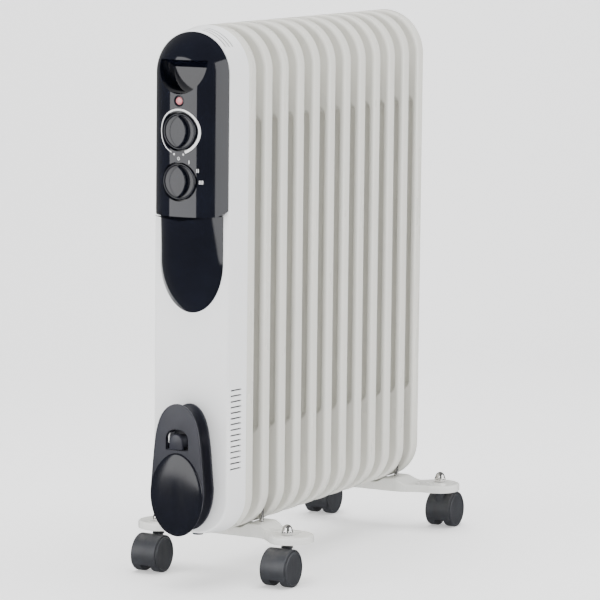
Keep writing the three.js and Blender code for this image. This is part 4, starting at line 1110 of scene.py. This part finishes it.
class HEATER_OT_feet(bpy.types.Operator):
    """Stamps the two caster feet and fits their U-bolts and nuts"""
    bl_idname = "heater.feet"
    bl_label = "Feet and U-bolts"

    def execute(self, context):
        sizes = context.scene.heater_feet
        for place, outward in (("front", -1), ("rear", 1)):
            bolt_x = middle_of(f"{place}_u_bolt").x
            self.foot(sizes, place, bolt_x, outward)
            self.u_bolt(sizes, place, bolt_x)
            for hand in ("right", "left"):
                self.nut(sizes, f"{place}_{hand}_u_bolt_nut")
        return {"FINISHED"}

    def foot(self, sizes, place, bolt_x, outward):
        """One stamped bracket: cradled saddle in the middle, paddles at the ends, edge turned down."""
        low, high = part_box(f"{place}_foot")
        outline = foot_outline(sizes, bolt_x, outward, high.y)

        def top_of(y):
            reach = abs(y)
            if reach < 42 * MM:
                return high.z - sizes.cradle_drop * (1 - smooth_step((reach - 18 * MM) / (12 * MM)))
            return high.z - (high.z - sizes.paddle_top) * smooth_step((reach - 42 * MM) / (16 * MM))

        def inwards(inset):
            places = []
            for i, (x, y) in enumerate(outline):
                (ax, ay), (bx, by) = outline[i - 1], outline[(i + 1) % len(outline)]
                along = Vector((bx - ax, by - ay)).normalized()
                places.append((x - outward * along.y * inset, y + outward * along.x * inset))
            return places

        wall, shoulder, level = sizes.sheet, sizes.shoulder, sizes.paddle_top
        rings = [(wall, level - wall), (wall, low.z + 0.8 * MM), (wall * 0.6, low.z), (0.2 * MM, low.z),
                 (0.0, low.z + 0.4 * MM)]
        rings += [(shoulder * across, level - shoulder * ahead) for across, ahead in quarter(6, start=0)]
        bm = bmesh.new()
        skinned(bm, [[Vector((x, y, z)) for x, y in inwards(inset)] for inset, z in rings])
        lines = [side * (17 + i * 1.5) * MM for side in (-1, 1) for i in range(29)]
        score(bm, lambda mesh: mesh.faces[:], 1, sorted(lines))
        for vert in bm.verts:
            if vert.co.z > low.z + 1.5 * MM:
                vert.co.z += top_of(vert.co.y) - level
        piece = to_object(bm, f"stamped_{place}_foot")
        cutter = bmesh.new()
        for hand in ("right", "left"):
            bore = sizes.rod + 0.3 * MM
            turned(cutter, [(0, 0), (bore, 0), (bore, 0.08), (0, 0.08)],
                   middle_of(f"{place}_{hand}_u_bolt_nut", "xy"), "Z", steps=24)
        carve(piece, cutter)
        ready(piece, "foot", ROOT, (f"{place}_foot",), sharp=40)
        piece.modifiers.new("Weighted normals", "WEIGHTED_NORMAL").keep_sharp = True

    def u_bolt(self, sizes, place, bolt_x):
        """A bent rod over the lower oil duct, with threaded tails."""
        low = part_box(f"{place}_u_bolt")[0]
        fins = bpy.context.scene.heater_fins
        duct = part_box(FINS[0])[0].z + fins.collar_rise
        hook = fins.collar_radius + sizes.rod + 0.9 * MM
        span = sizes.bolt_half_span
        bend = duct - (hook - 0.6 * MM) * 0.8
        spine = [(span, low.z + (bend - low.z) * i / 12) for i in range(13)]
        turns = [(hook * math.cos(math.radians(a)), duct + hook * math.sin(math.radians(a)))
                 for a in range(20, 161, 10)]
        (y0, z0), (y1, z1) = spine[-1], turns[0]
        middle_points = [(y0 * (1 - t) + y1 * t, z0 * (1 - t) + z1 * t) for t in (0.2, 0.4, 0.6, 0.8)]
        path = spine + middle_points + turns
        path += [(-y, z) for y, z in reversed(middle_points)] + [(-y, z) for y, z in reversed(spine)]
        stations = []
        for i, (y, z) in enumerate(path):
            ay, az = path[max(i - 1, 0)]
            by, bz = path[min(i + 1, len(path) - 1)]
            along = Vector((0, by - ay, bz - az)).normalized()
            row = Vector((1, 0, 0))
            side = along.cross(row)
            stations.append([Vector((bolt_x, y, z)) + sizes.rod * (math.cos(a) * row + math.sin(a) * side)
                             for a in (k * math.tau / 20 for k in range(20))])
        bm = bmesh.new()
        skinned(bm, stations)
        for side in (-1, 1):
            pitch, count = 0.8 * MM, 17
            thread = [(sizes.rod - 0.3 * MM, low.z)]
            for k in range(count):
                thread += [(sizes.rod + 0.22 * MM, low.z + (k + 0.5) * pitch),
                           (sizes.rod - 0.1 * MM, low.z + (k + 1) * pitch)]
            thread = [(0, low.z)] + thread + [(0, thread[-1][1])]
            turned(bm, thread, Vector((bolt_x, side * span, 0)), "Z", steps=24)
        ready(to_object(bm, f"bent_{place}_u_bolt"), "chrome", ROOT, (f"{place}_u_bolt",), sharp=60)

    def nut(self, sizes, node):
        """A hexagon nut with chamfered corners."""
        low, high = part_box(node)
        bm = bmesh.new()
        hexagon_nut(bm, middle_of(node), low.z, high.z, (high.y - low.y) / 2, sizes.rod + 0.3 * MM)
        ready(to_object(bm, f"turned_{node}"), "steel", ROOT, (node,), sharp=30)


def hexagon_nut(bm, middle, low, high, radius, bore):
    """A hexagon with its corners chamfered, and a bore through it."""
    def ring(size, z, corners=True):
        places = []
        for i in range(48):
            angle = i * math.tau / 48
            nearest = round(angle / (math.tau / 6) - 0.5) + 0.5
            flat = radius * math.cos(math.pi / 6) / math.cos(angle - nearest * math.tau / 6)
            reach = min(flat, size) if corners else size
            places.append(Vector((middle.x + reach * math.sin(angle), middle.y + reach * math.cos(angle), z)))
        return places

    inner = radius * math.cos(math.pi / 6)
    chamfer = (radius - inner) * 0.6
    stations = [ring(bore, low, False), ring(inner * 0.98, low), ring(radius, low + chamfer),
                ring(radius, high - chamfer), ring(inner * 0.98, high), ring(bore, high, False)]
    loop = skinned(bm, stations, cap_start=False, cap_end=False)
    next_loop(bm, loop, ring(bore, low, False))


# ---------------------------------------------------------------- casters
class HEATER_OT_casters(bpy.types.Operator):
    """Moulds the twin-wheel casters and fits their stems and cap nuts"""
    bl_idname = "heater.casters"
    bl_label = "Casters"

    def execute(self, context):
        sizes = context.scene.heater_casters
        for corner in CORNERS:
            self.stem(corner)
            self.cap_nut(corner)
            self.hood(sizes, corner)
            for which in ("inner", "outer"):
                self.wheel(corner, which)
        return {"FINISHED"}

    def stem(self, corner):
        """The grip stem with its collar."""
        node = f"{corner}_caster_stem"
        low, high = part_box(node)
        wide = (high.x - low.x) / 2
        collar_low, collar_high = 42.7 * MM, 52.7 * MM
        bm = bmesh.new()
        turned(bm, [(0, low.z), (3.2 * MM, low.z), (3.8 * MM, low.z + 0.8 * MM), (3.8 * MM, collar_low),
                    (wide - 0.5 * MM, collar_low), (wide, collar_low + 0.5 * MM),
                    (wide, collar_high - 0.5 * MM), (wide - 0.5 * MM, collar_high), (3 * MM, collar_high),
                    (3 * MM, high.z - 0.6 * MM), (2.4 * MM, high.z), (0, high.z)],
               middle_of(node, "xy"), "Z", steps=40)
        ready(to_object(bm, f"turned_{node}"), "caster", ROOT, (node,), sharp=40)

    def cap_nut(self, corner):
        """A bright hexagon nut with a domed cap."""
        node = f"{corner}_cap_nut"
        low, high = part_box(node)
        bm = bmesh.new()
        hexagon_nut(bm, middle_of(node), low.z, low.z + 5.4 * MM, (high.y - low.y) / 2, 3.6 * MM)
        base, radius, sunk = low.z + 4.8 * MM, 5.8 * MM, 0.4 * MM
        rise = high.z - base
        dome = [(radius * (1 - across), base + rise * (1 - ahead)) for across, ahead in quarter(10, start=0)]
        turned(bm, [(0, base - sunk), (radius, base - sunk)] + dome[:-1] + [(0, high.z)],
               middle_of(node, "xy"), "Z", steps=40)
        ready(to_object(bm, f"bright_{node}"), "chrome", ROOT, (node,), sharp=34)

    def hood(self, sizes, corner):
        """The hood over both wheels, its web, and the socket for the stem."""
        node = f"{corner}_caster_hood"
        low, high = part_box(node)
        y = (low.y + high.y) / 2
        axle = middle_of(f"{corner}_wheel_outer", "xz") + Vector((0, y, 0))
        stem_x = middle_of(f"{corner}_caster_stem").x
        outer, half = (high.x - low.x) / 2, (high.y - low.y) / 2
        inner = outer - sizes.hood_wall
        web = sizes.web_half
        edge = 0.8 * MM
        section = [(inner, -half), (outer - edge, -half), (outer, -half + edge), (outer, half - edge),
                   (outer - edge, half), (inner, half), (inner, web), (4.2 * MM, web), (4.2 * MM, -web),
                   (inner, -web)]
        bm = bmesh.new()
        start = math.radians(-28)
        sweep = math.radians(236)
        verts = [bm.verts.new(axle + Vector((reach * math.cos(start), along, reach * math.sin(start))))
                 for reach, along in section]
        bmesh.ops.spin(bm, geom=[bm.faces.new(verts)], cent=axle, axis=(0, -1, 0), angle=sweep, steps=56,
                       use_duplicate=False)
        socket = 7.5 * MM
        turned(bm, [(0, axle.z + 12 * MM), (web - 0.2 * MM, axle.z + 12 * MM),
                    (web - 0.2 * MM, axle.z + inner), (socket - 0.8 * MM, high.z - 1.6 * MM),
                    (socket - 0.8 * MM, high.z - 0.4 * MM),
                    (socket - 1.3 * MM, high.z), (4.2 * MM, high.z), (4.2 * MM, high.z - 1.2 * MM),
                    (0, high.z - 1.2 * MM)], Vector((stem_x, y, 0)), "Z", steps=36)
        pin = half + 1.0 * MM
        turned(bm, [(0, -pin), (3.4 * MM, -pin), (4 * MM, -pin + 0.6 * MM), (4 * MM, pin - 0.6 * MM),
                    (3.4 * MM, pin), (0, pin)], axle, "Y", steps=28)
        ready(to_object(bm, f"moulded_{node}"), "caster", f"{corner}_caster", (node,),
              sharp=36)

    def wheel(self, corner, which):
        """One wheel: tread, rolled edges, and a dished outer face."""
        node = f"{corner}_wheel_{which}"
        low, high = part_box(node)
        hood_low, hood_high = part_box(f"{corner}_caster_hood")
        outward = 1 if (low.y + high.y) > (hood_low.y + hood_high.y) else -1
        near, far = (low.y, high.y) if outward > 0 else (high.y, low.y)
        radius = (high.z - low.z) / 2

        def at(reach, share):
            return (reach, near + outward * share)

        width = abs(far - near)
        bore, hub = 4.4 * MM, width - 1.6 * MM
        profile = [at(0, hub), at(bore, hub), at(bore, 0.0), at(radius - 1.2 * MM, 0.0),
                   at(radius - 0.3 * MM, 0.3 * MM), at(radius, 1.1 * MM), at(radius, hub),
                   at(radius - 0.4 * MM, width - 0.6 * MM), at(radius - 1.4 * MM, width),
                   at(radius - 2.4 * MM, width), at(radius - 3.0 * MM, width - 0.7 * MM),
                   at(8 * MM, width - 0.6 * MM), at(0, width - 0.5 * MM)]
        bm = bmesh.new()
        turned(bm, profile, middle_of(node, "xz"), "Y", steps=72)
        ready(to_object(bm, f"turned_{node}"), "caster", f"{corner}_{which}_wheel", (node,),
              sharp=36)


# ---------------------------------------------------------------- stage
class HEATER_OT_stage(bpy.types.Operator):
    """Sets out the pale floor, the backdrop, the studio lights and the camera"""
    bl_idname = "heater.stage"
    bl_label = "Stage"

    def execute(self, context):
        settings = context.scene.heater_stage
        self.floor(settings)
        self.lights()
        self.camera(settings)
        return {"FINISHED"}

    def floor(self, settings):
        """A pale floor that turns up into a backdrop behind the heater."""
        away = Vector((math.cos(settings.camera_yaw), math.sin(settings.camera_yaw), 0))
        sideways = Vector((away.y, -away.x, 0))
        bend, side = 0.8, 6.0
        profile = [(-6.0, 0.0), (-2.0, 0.0), (1.2, 0.0)]
        profile += [(1.6 + bend * (1 - ahead), bend * across) for across, ahead in quarter(12, start=0)]
        profile.append((1.6 + bend, 3.5))
        last = len(profile) - 1
        bm = bmesh.new()
        bmesh.ops.create_grid(bm, x_segments=last, y_segments=1, size=1.0)
        for vert in bm.verts:
            reach, rise = profile[round((vert.co.x + 1) / 2 * last)]
            vert.co = away * reach - sideways * side * vert.co.y + Vector((0, 0, rise))
        for face in bm.faces:
            face.smooth = True
        piece = to_object(bm, "studio_floor")
        pale = finish("Studio floor", (0.9, 0.9, 0.905), 0.99, (0.7, 0.8, 2), (3, 200, 0.5, 0.00005),
                      patch=1.0, speck=60, emission_strength=0.45)
        piece.data.materials.append(pale)
        piece.visible_glossy = False
        world = bpy.data.worlds.new("Studio")
        bpy.context.scene.world = world
        world.use_nodes = True
        background = world.node_tree.nodes["Background"]
        background.inputs["Color"].default_value = (1.0, 1.0, 1.0, 1.0)
        background.inputs["Strength"].default_value = settings.room_light

    def lights(self):
        """Soft boxes: a strip in front of the control end, a strip beside the fins and a broad top light."""
        boxes = (("front", (-1.95, 0.45, 0.86), 2.04, 1.68, 44.0),
                 ("side", (0.35, -1.97, 0.86), 2.3, 1.7, 40.0),
                 ("top", (0.0, 0.0, 3.0), 3.0, 3.0, 180.0))
        for name, place, wide, tall, power in boxes:
            lamp = bpy.data.lights.new(name, "AREA")
            lamp.shape = "RECTANGLE"
            lamp.size, lamp.size_y, lamp.energy = wide, tall, power
            lamp_object = bpy.data.objects.new(name, lamp)
            aim = Vector((0, 0, 0.0 if name == "top" else place[2])) - Vector(place)
            lamp_object.rotation_mode = "QUATERNION"
            lamp_object.rotation_quaternion = aim.to_track_quat("-Z", "Y")
            lamp_object.location = place
            lamp_object.visible_glossy = name != "top"
            bpy.context.scene.collection.objects.link(lamp_object)

    def camera(self, settings):
        """A long lens at the control end's left."""
        first_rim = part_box(FINS[0])[0].x + bpy.context.scene.heater_fins.rim / 2
        place = Vector((first_rim, 0, 0)) + Vector((-3.5169944, -1.9667995, 0.8358778))
        yaw, pitch, roll = settings.camera_yaw, settings.camera_pitch, settings.camera_roll
        ahead = Vector((math.cos(yaw) * math.cos(pitch), math.sin(yaw) * math.cos(pitch), -math.sin(pitch)))
        right = Vector((math.sin(yaw), -math.cos(yaw), 0))
        up = right.cross(ahead)
        turned_right = right * math.cos(roll) + up * math.sin(roll)
        turned_up = up * math.cos(roll) - right * math.sin(roll)
        data = bpy.data.cameras.new("Camera")
        data.lens = settings.lens
        data.sensor_width = 36.0
        data.clip_end = 60.0
        camera = bpy.data.objects.new("Camera", data)
        rotation = Matrix((turned_right, turned_up, -ahead)).transposed()
        camera.matrix_world = Matrix.Translation(place) @ rotation.to_4x4()
        bpy.context.scene.collection.objects.link(camera)
        bpy.context.scene.camera = camera


# ---------------------------------------------------------------- panel in the sidebar
class VIEW3D_PT_heater(bpy.types.Panel):
    """Lists the heater's sizes and the operators that build it"""
    bl_label = "Heater"
    bl_idname = "VIEW3D_PT_heater"
    bl_space_type = "VIEW_3D"
    bl_region_type = "UI"
    bl_category = "Heater"

    def draw(self, context):
        for operator, group in STEPS:
            column = self.layout.box().column()
            column.operator(operator.bl_idname)
            settings = getattr(context.scene, group)
            for name in settings.__annotations__:
                column.prop(settings, name)


GROUPS = {"heater_fins": FinSizes, "heater_housing": HousingSizes, "heater_panel": PanelSizes,
          "heater_knobs": KnobSizes, "heater_winder": WinderSizes, "heater_feet": FootSizes,
          "heater_casters": CasterSizes, "heater_colours": FinishColours, "heater_stage": StageSettings}
STEPS = ((HEATER_OT_fins, "heater_fins"), (HEATER_OT_housing, "heater_housing"),
         (HEATER_OT_panel, "heater_panel"), (HEATER_OT_knobs, "heater_knobs"),
         (HEATER_OT_winder, "heater_winder"), (HEATER_OT_feet, "heater_feet"),
         (HEATER_OT_casters, "heater_casters"), (HEATER_OT_stage, "heater_stage"))
CLASSES = (*GROUPS.values(), *(operator for operator, _ in STEPS), VIEW3D_PT_heater)


def register():
    """Registers the classes and hangs the property groups on the scene."""
    for item in CLASSES:
        bpy.utils.register_class(item)
    for name, group in GROUPS.items():
        setattr(bpy.types.Scene, name, PointerProperty(type=group))


def unregister():
    """Takes everything back out."""
    for name in GROUPS:
        delattr(bpy.types.Scene, name)
    for item in reversed(CLASSES):
        bpy.utils.unregister_class(item)


def main():
    """Builds the heater piece by piece."""
    register()
    bpy.ops.heater.fins()
    bpy.ops.heater.housing()
    bpy.ops.heater.panel()
    bpy.ops.heater.knobs()
    bpy.ops.heater.winder()
    bpy.ops.heater.feet()
    bpy.ops.heater.casters()
    bpy.ops.heater.stage()


if __name__ == "__main__":
    main()
